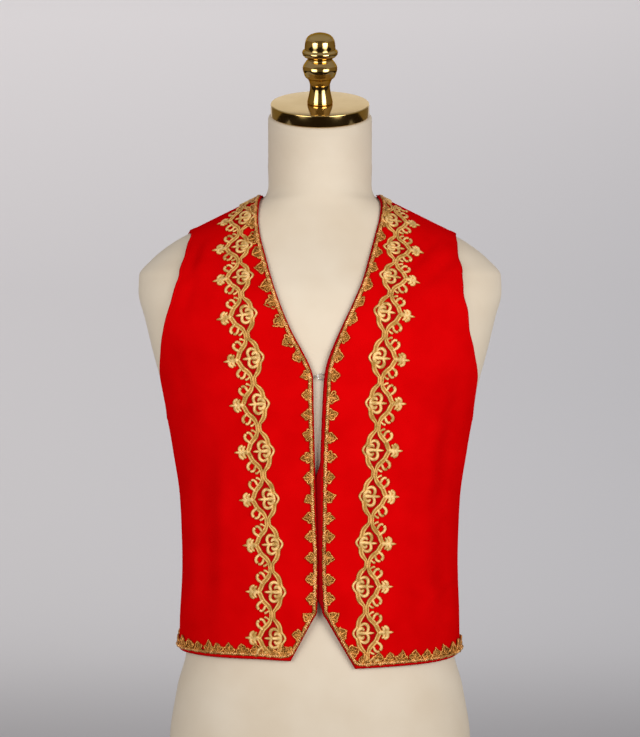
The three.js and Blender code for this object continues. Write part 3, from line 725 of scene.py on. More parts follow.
def cloth_wall(name, p, rolled, replaced, turned=None, darker=0.0):
    """A closed cloth wall on a grid of points of the face. rolled gives, for the first and last column and
    the first and last row, how far each place on that border is a rolled edge (1) or a seam (0). turned
    holds the columns of a turned-in edge, which go before the first one. darker is painted shade over the
    face.
    The wall's faces lie half its thickness out and in from the cloth's middle. Towards a border they close
    on it in a quarter circle: full = sqrt(1 - (1 - distance / radius) ^ 2)."""
    extra = 0
    if turned is not None:
        extra, edge_away = len(turned), border_distance(p, 0, False)
        p = np.concatenate([turned, p])
    columns, rows = p.shape[:2]
    full, rise, shade = np.ones((columns, rows)), np.zeros((columns, rows)), np.zeros((columns, rows))
    for (axis, from_end), share in zip([(0, False), (0, True), (1, False), (1, True)], rolled):
        away = border_distance(p, axis, from_end)
        share = np.broadcast_to(share, (rows if axis == 0 else columns,))
        share = share[None, :] if axis == 0 else share[:, None]
        radius = mix(SEAM_RADIUS, ROLL_RADIUS, share)
        full = np.minimum(full, np.sqrt(1 - (1 - np.minimum(away / radius, 1)) ** 2))
        # Painted shade: the colour darkens within a few millimetres of a rolled edge, where the cloth turns
        # away from the light.
        shade = np.maximum(shade, share * bell(away, EDGE_PAINTED_SHADE))
        roll = ROLL_RISE * bell(away - ROLL_AT, ROLL_WIDTH) - ROLL_DIP * bell(away - DIP_AT, ROLL_WIDTH)
        rise += share * roll
    # Painted shade: a turned-in edge is wholly shaded, and the face darkens towards it.
    if extra:
        shade[extra:] = np.maximum(shade[extra:], bell(edge_away, EDGE_PAINTED_SHADE))
        shade[:extra] = 1
    shade[extra:] = np.maximum(shade[extra:], darker)
    normal, lift = outward(p), cloth_lift(p)
    outer = p + normal * (lift - WALL / 2 + full * (WALL / 2) + rise * full)[..., None]
    inner = p + normal * (lift - WALL / 2 - full * (WALL / 2))[..., None]

    # The inner face shares the border's points with the outer one, so the wall closes on itself.
    number = np.arange(columns * rows).reshape(columns, rows)
    inside = np.zeros((columns, rows), bool)
    inside[1:-1, 1:-1] = True
    lower = number.copy()
    lower[inside] = columns * rows + np.arange(inside.sum())
    vertices = np.concatenate([outer.reshape(-1, 3), inner[inside]])
    faces = np.concatenate([grid_quads(number), grid_quads(lower)[:, ::-1]])
    i, j = columns // 2, rows // 2
    across, upward = outer[i + 1, j] - outer[i, j], outer[i, j + 1] - outer[i, j]
    if np.dot(np.cross(across, upward), normal[i, j]) < 0:
        faces = faces[:, ::-1]
    climb = running_length(p.swapaxes(0, 1)).swapaxes(0, 1)
    uv = np.stack([running_length(p), climb], -1) * MM
    uv = np.concatenate([uv.reshape(-1, 2), uv[inside]])
    shade = np.concatenate([shade.ravel(), shade[inside]])
    return new_mesh(name, vertices, [faces], [uv[faces.ravel()]], RED, "cloth", replaced, shade=shade)


def in_almond(p, side):
    """Whether points of a front lie inside an almond of its galloon, from 0 to 1. With turn = pi times the
    repeats from the nearest bud, an almond reaches from 8.5 cos turn inside the line of crossings to
    12.5 cos turn outside it."""
    tips = np.array(BUD_TIPS[side])
    tips = np.concatenate([[2 * tips[0] - tips[1]], tips, [2 * tips[-1] - tips[-2]]])
    at = np.interp(p[..., 2], tips, np.arange(len(tips)))
    wide = np.cos(np.pi * (at - np.round(at)))
    out = np.abs(p[..., 0]) - along(GALLOON, side, p[..., 2]) + MIDDLE_OF_CHART
    return smoothstep(-1.5, 1.5, np.minimum(12.5 * wide - out, out + 8.5 * wide))


def armhole_share(heights):
    """1 up the armhole's rolled edge and 0 down the side seam."""
    return smoothstep(UNDERARM_Z - 2, UNDERARM_Z + 2, heights)


def front_panel(side):
    p = front_grid(side)
    rolled = [1.0, armhole_share(p[-1, :, 2]), 1.0, 0.0]
    turned = turned_in(p[0], SIDES["right"]) if side == "left" else None
    # Painted shade on the cloth inside the galloon's almonds.
    darker = ALMOND_PAINTED_SHADE * in_almond(p, side)
    return cloth_wall(f"front_{side}_cloth", p, rolled, f"front_{side}", turned, darker)


def back_panel():
    p = back_grid()
    armhole = armhole_share(p[0, :, 2])
    at_neck = (np.abs(p[:, -1, 0]) < NECK_POINT_X + 0.01).astype(float)
    return cloth_wall("back_cloth", p, [armhole, armhole, 1.0, at_neck], "back")


fronts = {side: front_panel(side) for side in SIDES}
back = back_panel()

# ------------------------------------------------------------------ tracks for sewn-on gold


def sideways(p, hint):
    """At each point of a line on the face, the direction square to the line along the face, on the side
    of the hint."""
    side = unit(np.cross(outward(p), np.gradient(p, axis=0)))
    return -side if (side * hint).sum(-1).mean() < 0 else side


def make_track(p, hint):
    """A line on the face with its running length, a point each millimetre, and the direction to its side."""
    s = running_length(p)
    even = np.arange(0, s[-1], 1.0)
    p = to_face(between(even, s, p))
    return {"s": even, "p": p, "side": sideways(p, hint), "bulge": np.zeros(len(p))}


def longer(p, at_start, at_end):
    """The line carried on past its ends along the face, a millimetre at a time."""
    ends = []
    for line, count in ((p[::-1], at_start), (p, at_end)):
        before = line[np.linalg.norm(line - line[-1], axis=-1) > 1.5][-1]  # the last point well back
        way, here, added = unit(line[-1] - before), line[-1], []
        for _ in range(count):
            there = to_face(here + way)
            way, here = unit(there - here), there
            added.append(here)
        ends.append(np.array(added).reshape(-1, 3))
    return np.concatenate([ends[0][::-1], p, ends[1]])


def place(track, s, w, h):
    """Points at s along a track, w to its side and h above the cloth, h drawn out by the track's bulge."""
    q = to_face(between(s, track["s"], track["p"]) + between(s, track["s"], track["side"]) * w[:, None])
    thicker = 1 + np.interp(s, track["s"], track["bulge"])
    return q + outward(q) * (cloth_lift(q) + h * thicker)[:, None]


def smooth_line(points, spacing):
    """A Catmull-Rom line through rows of numbers, sampled about every spacing along the first two."""
    points = np.asarray(points, float)
    padded = np.vstack([2 * points[0] - points[1], points, 2 * points[-1] - points[-2]])
    length = running_length(points[:, :2])
    count = max(4, int(round(length[-1] / spacing)) + 1)
    at = np.interp(np.linspace(0, length[-1], count), length, np.arange(len(points)))
    i = np.minimum(at.astype(int), len(points) - 2)
    t = (at - i)[:, None]
    a, b, c, d = (padded[i + k] for k in range(4))
    bend, twist = 2 * a - 5 * b + 4 * c - d, 3 * b - a - 3 * c + d
    return 0.5 * (2 * b + (c - a) * t + bend * t * t + twist * t**3)


def beside(line, offset):
    """The line moved sideways in its own plane."""
    way = unit(np.gradient(line[:, :2], axis=0))
    moved = line.copy()
    moved[:, 0] -= way[:, 1] * offset
    moved[:, 1] += way[:, 0] * offset
    return moved


LEAST_RISE = 0.12  # no cord goes lower over the cloth, millimetres
MOST_ROUND = 1.35  # a cord with a larger radius is as flat as this one
LEAST_RADIUS = 0.15
FEWEST_POINTS = 4  # a line cut shorter than this is left out
END_REACH, END_RISE = 0.6, 0.4  # where a cord's end comes to a point: out and up, in radii
WOUND = 0.7  # a cord's UV across, in radii for each corner of its section

# Sections in radii, across and up: half of a round cord over a flat underside, and a plaited strand.
CORD_SECTION = np.array(
    [(1, 0.1), (0.87, 0.55), (0.5, 0.9), (0, 1.03), (-0.5, 0.9), (-0.87, 0.55), (-1, 0.1), (0, -0.05)]
)
STRAND_SECTION = np.array([(1, 0), (0.55, 0.83), (-0.55, 0.83), (-1, 0), (-0.55, -0.5), (0.55, -0.5)])


def longest_run(good):
    """First and last place, the last one excluded, of the longest run of true values, or None."""
    runs = np.flatnonzero(np.diff(np.concatenate([[0], good.astype(int), [0]]))).reshape(-1, 2)
    return max(runs, key=lambda run: run[1] - run[0]) if len(runs) else None


def lay_cords(name, track, lines, kept, material, slot, node, relief_top, section=CORD_SECTION):
    """One mesh of cords on a track. A line's rows hold s, w, radius and the height of the cord's underside.
    Each ring is the section, scaled by the radius, square to the line; both ends close on a point. kept
    says which points of the face may carry gold, and a line keeps its longest run of such points. Each
    vertex holds its height over the cloth as a share of relief_top."""
    owner = np.repeat(np.arange(len(lines)), [len(line) for line in lines])
    rows = np.concatenate(lines)
    ok = kept(place(track, rows[:, 0], rows[:, 1], np.zeros(len(rows))), rows[:, 0])
    points, quads, ends, quad_uv, end_uv, count, size = [], [], [], [], [], 0, len(section)
    around = np.arange(size)
    for number, line in enumerate(lines):
        run = longest_run(ok[owner == number])
        if run is None or run[1] - run[0] < FEWEST_POINTS:
            continue
        line = line[run[0] : run[1]]
        way = unit(np.gradient(line[:, :2], axis=0))
        across = np.stack([-way[:, 1], way[:, 0]], -1)
        radius = np.maximum(line[:, 2], LEAST_RADIUS)[:, None]
        flat = line[:, None, :2] + across[:, None] * (section[:, 0] * radius)[..., None]
        rise = line[:, 3:4] + section[:, 1] * np.minimum(radius, MOST_ROUND)
        ring = np.concatenate([flat, np.maximum(rise, LEAST_RISE)[..., None]], -1)
        tip = line[[0, -1], :2] + way[[0, -1]] * [[-END_REACH], [END_REACH]] * radius[[0, -1]]
        tip_rise = np.maximum(line[[0, -1], 3:4] + END_RISE * radius[[0, -1]], LEAST_RISE + 0.05)
        points += [ring.reshape(-1, 3), np.concatenate([tip, tip_rise], -1)]

        quads.append(count + ring_quads(len(line), size))
        ends.append(count + pole_fans(len(line), size))
        count += len(line) * size + 2
        length = running_length(line[:, :2]) * MM
        wide, more = (k * (radius[:-1] * WOUND * MM) for k in (around, around + 1))
        u0, u1 = (np.broadcast_to(v[:, None], wide.shape) for v in (length[:-1], length[1:]))
        quad_uv.append(np.stack([u0, wide, u0, more, u1, more, u1, wide], -1).reshape(-1, 2))
        end_uv.append(np.tile([[0, 0], [0, 0.0005], [0.0005, 0]], (2 * size, 1)))
    points, quads, ends = np.concatenate(points), np.concatenate(quads), np.concatenate(ends)
    vertices = place(track, *points.T)
    # The faces on top of the cords tell whether all have to be turned to point outwards.
    first, second, _, last = np.moveaxis(vertices[quads], 1, 0)
    upper = points[quads][:, :, 2].mean(1) > np.median(points[:, 2])
    centre = vertices[quads].mean(1)[upper]
    if (np.cross(second - first, last - first)[upper] * outward(centre)).sum(-1).mean() < 0:
        quads, ends = quads[:, ::-1], ends[:, ::-1]
        quad_uv = [uv.reshape(-1, 4, 2)[:, ::-1].reshape(-1, 2) for uv in quad_uv]
        end_uv = [uv.reshape(-1, 3, 2)[:, ::-1].reshape(-1, 2) for uv in end_uv]
    # The height share, which the gold materials turn into painted shade low down and painted highlight high
    # up.
    uv, relief = [*quad_uv, *end_uv], points[:, 2] / relief_top
    return new_mesh(name, vertices, [quads, ends], uv, material, slot, node, shade=relief)


def middle_y(p):
    return along(SECTIONS, "middle", p[..., 2])


# ------------------------------------------------------------------ the wide galloon

# One repeat of the galloon as a chart: distance along it, distance out from the line that joins the
# crossings, and the cord's radius. Half of each mirrored figure is given; the middle is at 25.
OUTER_RIBBON = [
    (0, 1.5, 1), (4, 1.6, 1), (7.2, 2.7, 1), (9.8, 4.4, 1), (12.3, 6.7, 1), (15.1, 9.6, 1),
    (18.1, 11.4, 1), (20.8, 12.5, 1), (23.4, 14, 1), (25, 14.6, 1),
]  # fmt: skip
INNER_RIBBON = [
    (0, -1.5, 1), (3.6, -1.8, 1), (5.8, -3.3, 1), (7.9, -5.2, 1), (10.7, -7.1, 1), (13.6, -8.2, 1),
    (17.2, -8.6, 1), (19.5, -9.6, 1),
]  # fmt: skip
HALF_FIGURES = [
    # outside the ribbon: a short comma, a curled one and a hook, which close to an open ring
    [(5, 3.2, 1.1), (3.8, 4.8, 1.25), (2.7, 6.4, 1.35), (2.4, 8, 1.55)],
    [(10.8, 6.4, 1.1), (9, 8, 1.5), (6.9, 8.8, 1.6), (5.2, 10.3, 1.6), (4.4, 12, 1.5), (5, 13.4, 1.55)],
    [
        (16.2, 10.6, 1.3), (14.2, 12.6, 1.6), (12.4, 15, 1.75), (9.8, 16.4, 1.8), (7.6, 16.1, 1.8),
        (6.5, 15, 1.9),
    ],
    # inside the almond: the curl and the side lobe of its fan
    [
        (17.2, -6.6, 1.3), (15.6, -4.5, 1.7), (14.9, -1.7, 1.9), (16.2, 0.9, 2), (18.8, 2.2, 1.9),
        (22, 1.8, 1.7), (24.4, 0.4, 1.5),
    ],
    [(24.4, -10, 1.4), (22.2, -9, 2.1), (20.1, -6.9, 2.3), (19.9, -4.2, 2.1), (21.6, -2.6, 1.3)],
    # a lobe of the bud and the cord behind it
    [(25, 21.6, 2.1), (22.6, 23.6, 2.3), (20, 23, 2.2), (18.2, 20.2, 1.7)],
    [(25, 18.8, 2.1), (22.4, 19.8, 2.1), (20.2, 18.8, 1.7), (19, 17.2, 1.1)],
]  # fmt: skip
WHOLE_FIGURES = [
    # the arch behind the fan, the fan's middle, the stem of the bud and its tip
    [
        (18.4, -9.6, 1.1), (20.4, -11.9, 1.25), (22.6, -13.5, 1.35), (25, -14.3, 1.4),
        (27.4, -13.5, 1.35), (29.6, -11.9, 1.25), (31.6, -9.6, 1.1),
    ],
    [
        (25, -10.6, 1.4), (25, -8, 2.4), (25, -4.8, 2.4), (25, -1.2, 1.9), (25, 2, 1.7),
        (25, 5.2, 1.5), (25, 8.2, 0.8),
    ],
    [(25, 14.6, 2.8), (25, 18.2, 2.7), (25, 21.2, 2.3)],
    [(25, 21.4, 2.4), (25, 24.4, 1.9), (25, 27.4, 1.4), (25, 30.2, 0.6)],
]  # fmt: skip
BUD_REACH = 21.5  # from the strip's middle to a bud's tip
CORD_GAP, CORD_RADIUS = 1.6, 1.1  # half the distance between a ribbon's two cords, and their radius
BAND_RADIUS, BAND_BASE = 1.6, -0.7  # the flat band between them, and how far it is sunk
CHART_STEP = 1.15  # distance between a charted line's points
GALLOON_BASE, GALLOON_TOP = 0.3, 1.9  # height of its cords' undersides, and of its highest thread
HEM_CLEAR, SEAM_CLEAR, SIDE_CLEAR = 6.5, 5, 1.6  # how far it ends above the hem and clear of the seams
SPARE_REPEATS = 3  # repeats added beyond the first and last bud, to be cut off at the edges


def galloon_chart():
    """The cords of one repeat, in the chart's own distances, with both halves of each mirrored figure. A
    ribbon's two cords and the flat band between them draw in to 3/5 of their width at the crossings."""

    def mirrored(figure):
        turned = np.array(figure, float)
        turned[:, 0] = REPEAT - turned[:, 0]
        return turned

    def line_of(figure):
        return smooth_line(figure, CHART_STEP)

    ribbons = [line_of(np.vstack([OUTER_RIBBON, mirrored(OUTER_RIBBON)[-2::-1]]))]
    ribbons += [line_of(INNER_RIBBON), line_of(mirrored(INNER_RIBBON))]
    lines = []
    for ribbon in ribbons:
        from_crossing = np.minimum(ribbon[:, 0], REPEAT - ribbon[:, 0])
        width = mix(0.6, 1, smoothstep(4, 10, from_crossing))
        for side in (1, -1):
            cord = beside(ribbon, side * CORD_GAP * width)
            cord[:, 2] = CORD_RADIUS * mix(0.8, 1, width)
            lines.append((cord, 0))
        band = ribbon.copy()
        band[:, 2] = BAND_RADIUS * width
        lines.append((band, BAND_BASE))
    for figure in HALF_FIGURES:
        lines += [(line_of(figure), 0), (line_of(mirrored(figure)), 0)]
    lines += [(line_of(figure), 0) for figure in WHOLE_FIGURES]
    return [np.column_stack([line, np.full(len(line), GALLOON_BASE + base)]) for line, base in lines]


AT_SEAM = {"right": 90, "left": 79}  # how far out the galloon runs into the shoulder seam


def galloon(side):
    """One galloon: repeats of the chart along its middle line, each drawn out to the space between its bud
    and the next ones. Near the shoulder the line's points close up, because there the face turns over."""
    sign = SIDES[side]
    z = np.linspace(322, 816.5, 400)
    z = z[along(SECTIONS, "half", z) > along(GALLOON, side, z)]
    ridge = shoulder_z(np.array([along(GALLOON, side, z[-1])]))[0]
    z = np.concatenate([z[:-1], ridge - (ridge - z[-1]) * np.linspace(1, 0, 12) ** 2])
    p = on_face(sign * along(GALLOON, side, z), z, FRONT)
    track = make_track(longer(p, 8, 22), np.array([sign, 0, 0]))
    before_ridge = int(np.argmax(track["p"][:, 2] > 800))
    tip_z = (track["p"] + track["side"] * BUD_REACH)[:before_ridge, 2]
    tips = np.interp(BUD_TIPS[side], tip_z, track["s"][:before_ridge])
    below = tips[0] - (tips[1] - tips[0]) * np.arange(SPARE_REPEATS, 0, -1)
    above = tips[-1] + (tips[-1] - tips[-2]) * np.arange(1, SPARE_REPEATS + 1)
    tips = np.concatenate([below, tips, above])
    chart, lines, end = galloon_chart(), [], track["s"][-1]
    for k in range(1, len(tips) - 1):
        for line in chart:
            moved = line.copy()
            moved[:, 0] = np.interp(k - 0.5 + line[:, 0] / REPEAT, np.arange(len(tips)), tips)
            moved[:, 1] = line[:, 1] - MIDDLE_OF_CHART
            if moved[:, 0].max() > 2 and moved[:, 0].min() < end - 2:
                lines.append(moved)

    def kept(q, s):
        out = np.abs(q[:, 0])
        in_front = q[:, 1] < middle_y(q) - SIDE_CLEAR
        below_seam = (out < AT_SEAM[side]) | (q[:, 2] < shoulder_z(out) - SEAM_CLEAR)
        above_hem = q[:, 2] > along(HEM, side, out, key="x") + HEM_CLEAR
        return in_front & below_seam & above_hem & (s > 1) & (s < end - 1)

    name = f"galloon_{side}"
    return lay_cords(f"{name}_lace", track, lines, kept, LACE, "galloon_gold", name, GALLOON_TOP)


galloons = {side: galloon(side) for side in SIDES}

# ------------------------------------------------------------------ the gimp edging

# How far its braid's middle lies in from the cloth's edge, at heights down a front; then at the hem.
EDGE_HEIGHTS = [340, 440, 510, 620, 690]
EDGE_LINE = {"right": [3.2, 2.9, 3.6, 3.6, 3.4], "left": [3.0, 3.6, 4.8, 5.2, 3.0]}
BACK_NECK_LINE = 4.2
HEM_LINE = {"right": 5.3, "left": 4.6, "back": 5.0}
CORNER_REACH = 7.0  # how far before the cutaway's corner the line starts to turn
SEAM_BULGE = 1.0  # how much thicker, as a share, the hem's gimp lies where it turns round a side seam
BESIDE_SEAM = 1.0  # how far from a side's middle it ends
TAPE_RADIUS, TAPE_BASE = 1.9, -0.75
GIMP_TOP = 2.4  # height of its highest thread
BRAID_WAVE = 7.4
LEAF_PITCH, HEM_LEAF_PITCH = 22.0, 15.0
LEAF_FOOT = 1.6  # where a leaf grows from, in from the braid's middle
HEM_LEAF_GROWTH = 1.1

# Size of the leaves along and across the braid: first on the edge and hem, then on the neckline.
LEAF_SIZE = {"right": ((0.84, 0.88), (1.14, 1.02)), "left": ((0.9, 0.96), (0.9, 0.66))}
BACK_LEAF_SIZE = ((0.9, 0.95), (0.9, 0.95))

# A leaf of the edging: distance along, distance in from the braid's middle, the cord's radius.
LEAF = [
    [
        (-1, 1, 0.85), (-4.8, 1.7, 0.9), (-7.1, 3.5, 0.95), (-6.6, 5.4, 1), (-4.5, 6, 0.9),
        (-3.6, 8.2, 0.9), (0, 11.2, 0.8),
    ],
    [
        (1, 1, 0.85), (4.8, 1.7, 0.9), (7.1, 3.5, 0.95), (6.6, 5.4, 1), (4.5, 6, 0.9),
        (3.6, 8.2, 0.9), (0, 11.2, 0.8),
    ],
    [(0, 1.4, 0.9), (0, 5, 1.1), (0, 9.8, 0.9)],
    [(-0.8, 1.6, 0.9), (-2.9, 3.7, 1), (-5, 4.8, 0.9)],
    [(0.8, 1.6, 0.9), (2.9, 3.7, 1), (5, 4.8, 0.9)],
    [(-4.6, 3.1, 2.3), (0, 3.3, 2.6), (4.6, 3.1, 2.3)],
    [(-3.2, 6.3, 2.2), (0, 6.6, 2.6), (3.2, 6.3, 2.2)],
]  # fmt: skip
LEAF_BASE = [0.75, 0.75, 0.5, 0.5, 0.5, -0.35, -0.35]  # how high each line of a leaf lies


def gimp(name, track, face, node, leaf_size=BACK_LEAF_SIZE, hem_from=1e9):
    """Gimp along a track: three braided strands on a tape and leaves on the inner side. A strand sways
    w = 1.3 sway sin(2 pi s / wave + turn) and rises h = 0.75 + 0.6 sin(4 pi s / wave + 2 turn + 0.8), where
    sway wanders slowly round 1. Past hem_from the leaves are those of the hem."""
    total = track["s"][-1]
    s = np.arange(1.0, total - 1.0, 0.85)
    lines = [np.column_stack(np.broadcast_arrays(s, 0.0, TAPE_RADIUS, TAPE_BASE))]
    for k in range(3):
        turn = 2 * np.pi * k / 3
        sway = 1 + 0.3 * np.sin(s * 0.37 + 2 * k) + 0.25 * np.sin(s * 0.91 + k)
        w = 1.3 * sway * np.sin(2 * np.pi * s / BRAID_WAVE + turn)
        h = 0.75 + 0.6 * np.sin(4 * np.pi * s / BRAID_WAVE + 2 * turn + 0.8)
        lines.append(np.column_stack([s, w, 0.85 + 0.25 * np.sin(s * 0.8 + 3 * k), h]))
    wide_apart = np.arange(LEAF_PITCH * 0.5, min(hem_from, total - 6), LEAF_PITCH)
    close = np.arange(hem_from + 5, total - 4, HEM_LEAF_PITCH)
    for start in np.concatenate([wide_apart, close]):
        lean, size, shift = chance.normal(0, 0.14), chance.normal(1, 0.08, 2), chance.normal(0, 0.8)
        at_neck = smoothstep(640, 690, np.interp(start, track["s"], track["p"][:, 2]))
        size = size * mix(*np.array(leaf_size), at_neck)
        size = size * (HEM_LEAF_GROWTH if start > hem_from else 1)
        for figure, base in zip(LEAF, LEAF_BASE):
            line = smooth_line(figure + chance.normal(0, 0.32, (len(figure), 3)) * (1, 1, 0.3), 1.1)
            a = line[:, 0] * size[0] * chance.normal(1, 0.06)
            c = LEAF_FOOT + (line[:, 1] - LEAF_FOOT) * size[1] * chance.normal(1, 0.06)
            turned = start + shift + a * np.cos(lean) - c * np.sin(lean), c * np.cos(lean) + a * np.sin(lean)
            lines.append(np.column_stack([*turned, line[:, 2], np.full(len(line), base)]))

    def kept(q, s):
        return (face * (q[:, 1] - middle_y(q)) > BESIDE_SEAM) & (s > 0.5) & (s < total - 0.5)

    return lay_cords(name, track, lines, kept, GIMP, "edging_gold", node, GIMP_TOP, STRAND_SECTION)


def inset(p, hint, distance):
    """A border line moved in along the face."""
    return to_face(p + sideways(p, hint) * distance)


def thicker_at_side_seams(track):
    bulge = smoothstep(130, 152, np.abs(track["p"][:, 0])) * SEAM_BULGE
    return {**track, "bulge": bulge}


def front_gimp(side):
    """Down the neckline, the closed edge and the cutaway, round the corner and along the hem. The corner
    is a quadratic curve between points of the edge and the hem that lie a little before it."""
    sign = SIDES[side]
    drop = np.linspace(0, 1, 500)
    z = NECK_POINT_Z - (NECK_POINT_Z - 322) * drop**1.3
    distance = np.interp(z, EDGE_HEIGHTS, EDGE_LINE[side])[:, None]
    edge = inset(on_face(sign * along(FRONT_EDGE, side, z), z, FRONT), [sign, 0, 0], distance)
    x = np.concatenate([np.linspace(20, 150, 200), 156.4 - 6.4 * np.linspace(1, 0, 60)[1:] ** 2])
    hem = inset(on_face(sign * x, along(HEM, side, x, key="x"), FRONT), [0, 0, 1], HEM_LINE[side])
    gaps = np.linalg.norm(edge[:, None] - hem[None], axis=-1)
    i, j = np.unravel_index(gaps.argmin(), gaps.shape)
    up, out = running_length(edge[i::-1]), running_length(hem[j:])
    before = i - int(np.searchsorted(up, CORNER_REACH))
    after = j + int(np.searchsorted(out, CORNER_REACH))
    t = np.linspace(0, 1, 12)[1:-1, None]
    corner = (1 - t) ** 2 * edge[before] + 2 * t * (1 - t) * (edge[i] + hem[j]) / 2 + t**2 * hem[after]
    line = longer(np.concatenate([edge[: before + 1], to_face(corner), hem[after:]]), 4, 10)
    track = thicker_at_side_seams(make_track(line, [sign, 0, 0.3]))
    hem_from = track["s"][-1] - out[-1] - 8
    return gimp(f"gimp_front_{side}", track, FRONT, f"edging_front_{side}", LEAF_SIZE[side], hem_from)


def back_neck_gimp():
    sine = np.sin(np.linspace(-np.pi / 2, np.pi / 2, 300))
    edge = on_face(NECK_POINT_X * sine, back_neck_z(sine), BACK)
    line = longer(inset(edge, [0, 0.3, -1], BACK_NECK_LINE), 3, 3)
    return gimp("gimp_back_neck", make_track(line, [0, 0.5, -1]), BACK, "edging_back_neck")


def back_hem_gimp():
    x = 156.0 * np.sin(np.linspace(-np.pi / 2, np.pi / 2, 500))
    line = longer(inset(on_face(x, back_hem_z(x), BACK), [0, 0, 1], HEM_LINE["back"]), 24, 24)
    track = thicker_at_side_seams(make_track(line, [0, 0, 1]))
    return gimp("gimp_back_hem", track, BACK, "edging_back_hem", hem_from=0)


edgings = {side: front_gimp(side) for side in SIDES}
neck_edging, hem_edging = back_neck_gimp(), back_hem_gimp()

# ------------------------------------------------------------------ dress form, cap, finial and stand

AROUND = 168  # points round the form
FORM_BOTTOM_Z = 145
NECK_TILT = np.radians(21)
NECK_STEM_Z = 872  # the form's own sections end here and the round neck starts
NECK_TOP_Y, NECK_TOP_Z, NECK_TOP_RADIUS, NECK_ROUND = -3, 928.8, 58.2, 4.5
JOINT = 0.3  # space between the neck and the cap, and between the cap and the finial
CAP_RADIUS, CAP_TOP = 55.3, 13.8
BASE_RADIUS, BASE_TOP = 170, 16


def skin(name, rings, material, slot, node):
    """A closed skin over rings of points, (rings, around, 3), bottom to top, with a pole in each end."""
    levels, around = rings.shape[:2]
    vertices = np.concatenate([rings.reshape(-1, 3), [rings[0].mean(0), rings[-1].mean(0)]])
    faces = [ring_quads(levels, around), pole_fans(levels, around)]
    return new_mesh(name, vertices, faces, None, material, slot, node)


def form_body():
    """The dressed face drawn in by the cloth and its ease, then a round neck whose top leans forward. The
    rim at the neck's top is rounded."""
    z = np.concatenate([np.linspace(FORM_BOTTOM_Z, 740, 100)[:-1], np.linspace(740, NECK_STEM_Z, 56)])
    z = z[:, None]
    turn = np.linspace(0, 2 * np.pi, AROUND, endpoint=False)[None]
    c, v = np.cos(turn), np.sin(turn)
    half, front, back_depth, middle, power = section_at(z)
    depth = np.where(v < 0, front, back_depth)
    x = half * np.sign(c) * np.abs(c) ** (2 / power)
    y = middle + depth * np.sign(v) * np.abs(v) ** (2 / power)
    p = np.stack(np.broadcast_arrays(x, y, z), -1)
    normal = outward(p)
    flank = normal[..., 0] ** 2 / (normal[..., 0] ** 2 + normal[..., 1] ** 2)
    lengthwise = np.where(v < 0, along(EASE, "front", z), along(EASE, "back", z))
    ease = mix(lengthwise, along(EASE, "side", z), flank)
    body = p - normal * (WALL + ease)[..., None]
    body[0, :, 2] = FORM_BOTTOM_Z
    stem_y = along(SECTIONS, "middle", float(NECK_STEM_Z))
    quarter = np.radians(np.linspace(0, 90, 9))
    t = np.concatenate([np.linspace(0, 0.8, 12)[1:], np.ones(9)])[:, None]
    drawn_in = np.concatenate([np.zeros(11), NECK_ROUND * (1 - np.cos(quarter))])[:, None]
    lowered = np.concatenate([np.zeros(11), NECK_ROUND * (1 - np.sin(quarter))])[:, None]
    tilt = NECK_TILT * t
    radius = NECK_TOP_RADIUS - drawn_in
    neck_y = mix(stem_y, NECK_TOP_Y, t) + lowered * np.sin(tilt) + radius * v * np.cos(tilt)
    neck_z = mix(NECK_STEM_Z, NECK_TOP_Z, t) - lowered * np.cos(tilt) + radius * v * np.sin(tilt)
    neck = np.stack([radius * c, neck_y, neck_z], -1)
    return skin("form_body", np.concatenate([body, neck]), JERSEY, "form_cover", "form_torso")


def lathe(name, outline, origin, tilt, material, slot, node, around=96):
    """A solid turned from (radius, height) pairs, foot to top, then tilted about X and moved."""
    radius, height = np.array(outline, float).T
    turn = np.linspace(0, 2 * np.pi, around, endpoint=False)
    x, y = radius[:, None] * np.cos(turn), radius[:, None] * np.sin(turn)
    h = np.broadcast_to(height[:, None], x.shape)
    rings = np.stack([x, y * np.cos(tilt) - h * np.sin(tilt), y * np.sin(tilt) + h * np.cos(tilt)], -1)
    return skin(name, rings + np.array(origin, float), material, slot, node)


def rounded_plate(radius, low, high, round_low, round_high):
    """The outline of a plate with quarter-round rims."""
    turn = np.radians(np.linspace(0, 90, 8))
    under = [(radius - round_low * (1 - np.sin(a)), low + round_low * (1 - np.cos(a))) for a in turn]
    over = [(radius - round_high * (1 - np.cos(a)), high - round_high * (1 - np.sin(a))) for a in turn]
    return [(0.3, low), (radius * 0.5, low), *under, *over, (radius * 0.5, high), (0.3, high)]


FINIAL = table("""
       z radius
       0   13.9
     0.8   14.3
       3     14
       6   13.3
       9   12.6
      12     12
      15   11.5
      18   11.2
    20.5   11.2
    23.1   11.7
    26.9   13.2
    28.9   14.8
    29.8   16.2
      31   16.9
    34.5   18.1
    37.6   19.1
    39.7   19.4
    41.8     19
      44     18
    47.7   15.4
    49.8   13.9
    50.8   13.8
    52.2   15.6
    53.4   17.6
      56   19.6
    57.9   19.9
    59.6   19.3
    60.5     18
    61.4   17.3
    66.2     17
    70.8   16.1
    73.3     15
    75.2   13.6
    77.1   11.2
      78    9.2
    78.9    6.4
    79.5    2.9
""")
FINIAL_TOP = 79.6
POST = [
    (0.3, 16.3), (34.5, 16.3), (35.6, 16.8), (36, 17.8), (36, 24), (35.2, 25), (33, 25.4), (19.5, 28.6),
    (17.6, 30), (17, 32), (17, 129), (17.6, 131), (19.5, 132.4), (33, 135.6), (35.2, 136), (36, 137),
    (36, 143.2), (35.6, 144.2), (34.5, 144.7), (0.3, 144.7),
]  # fmt: skip

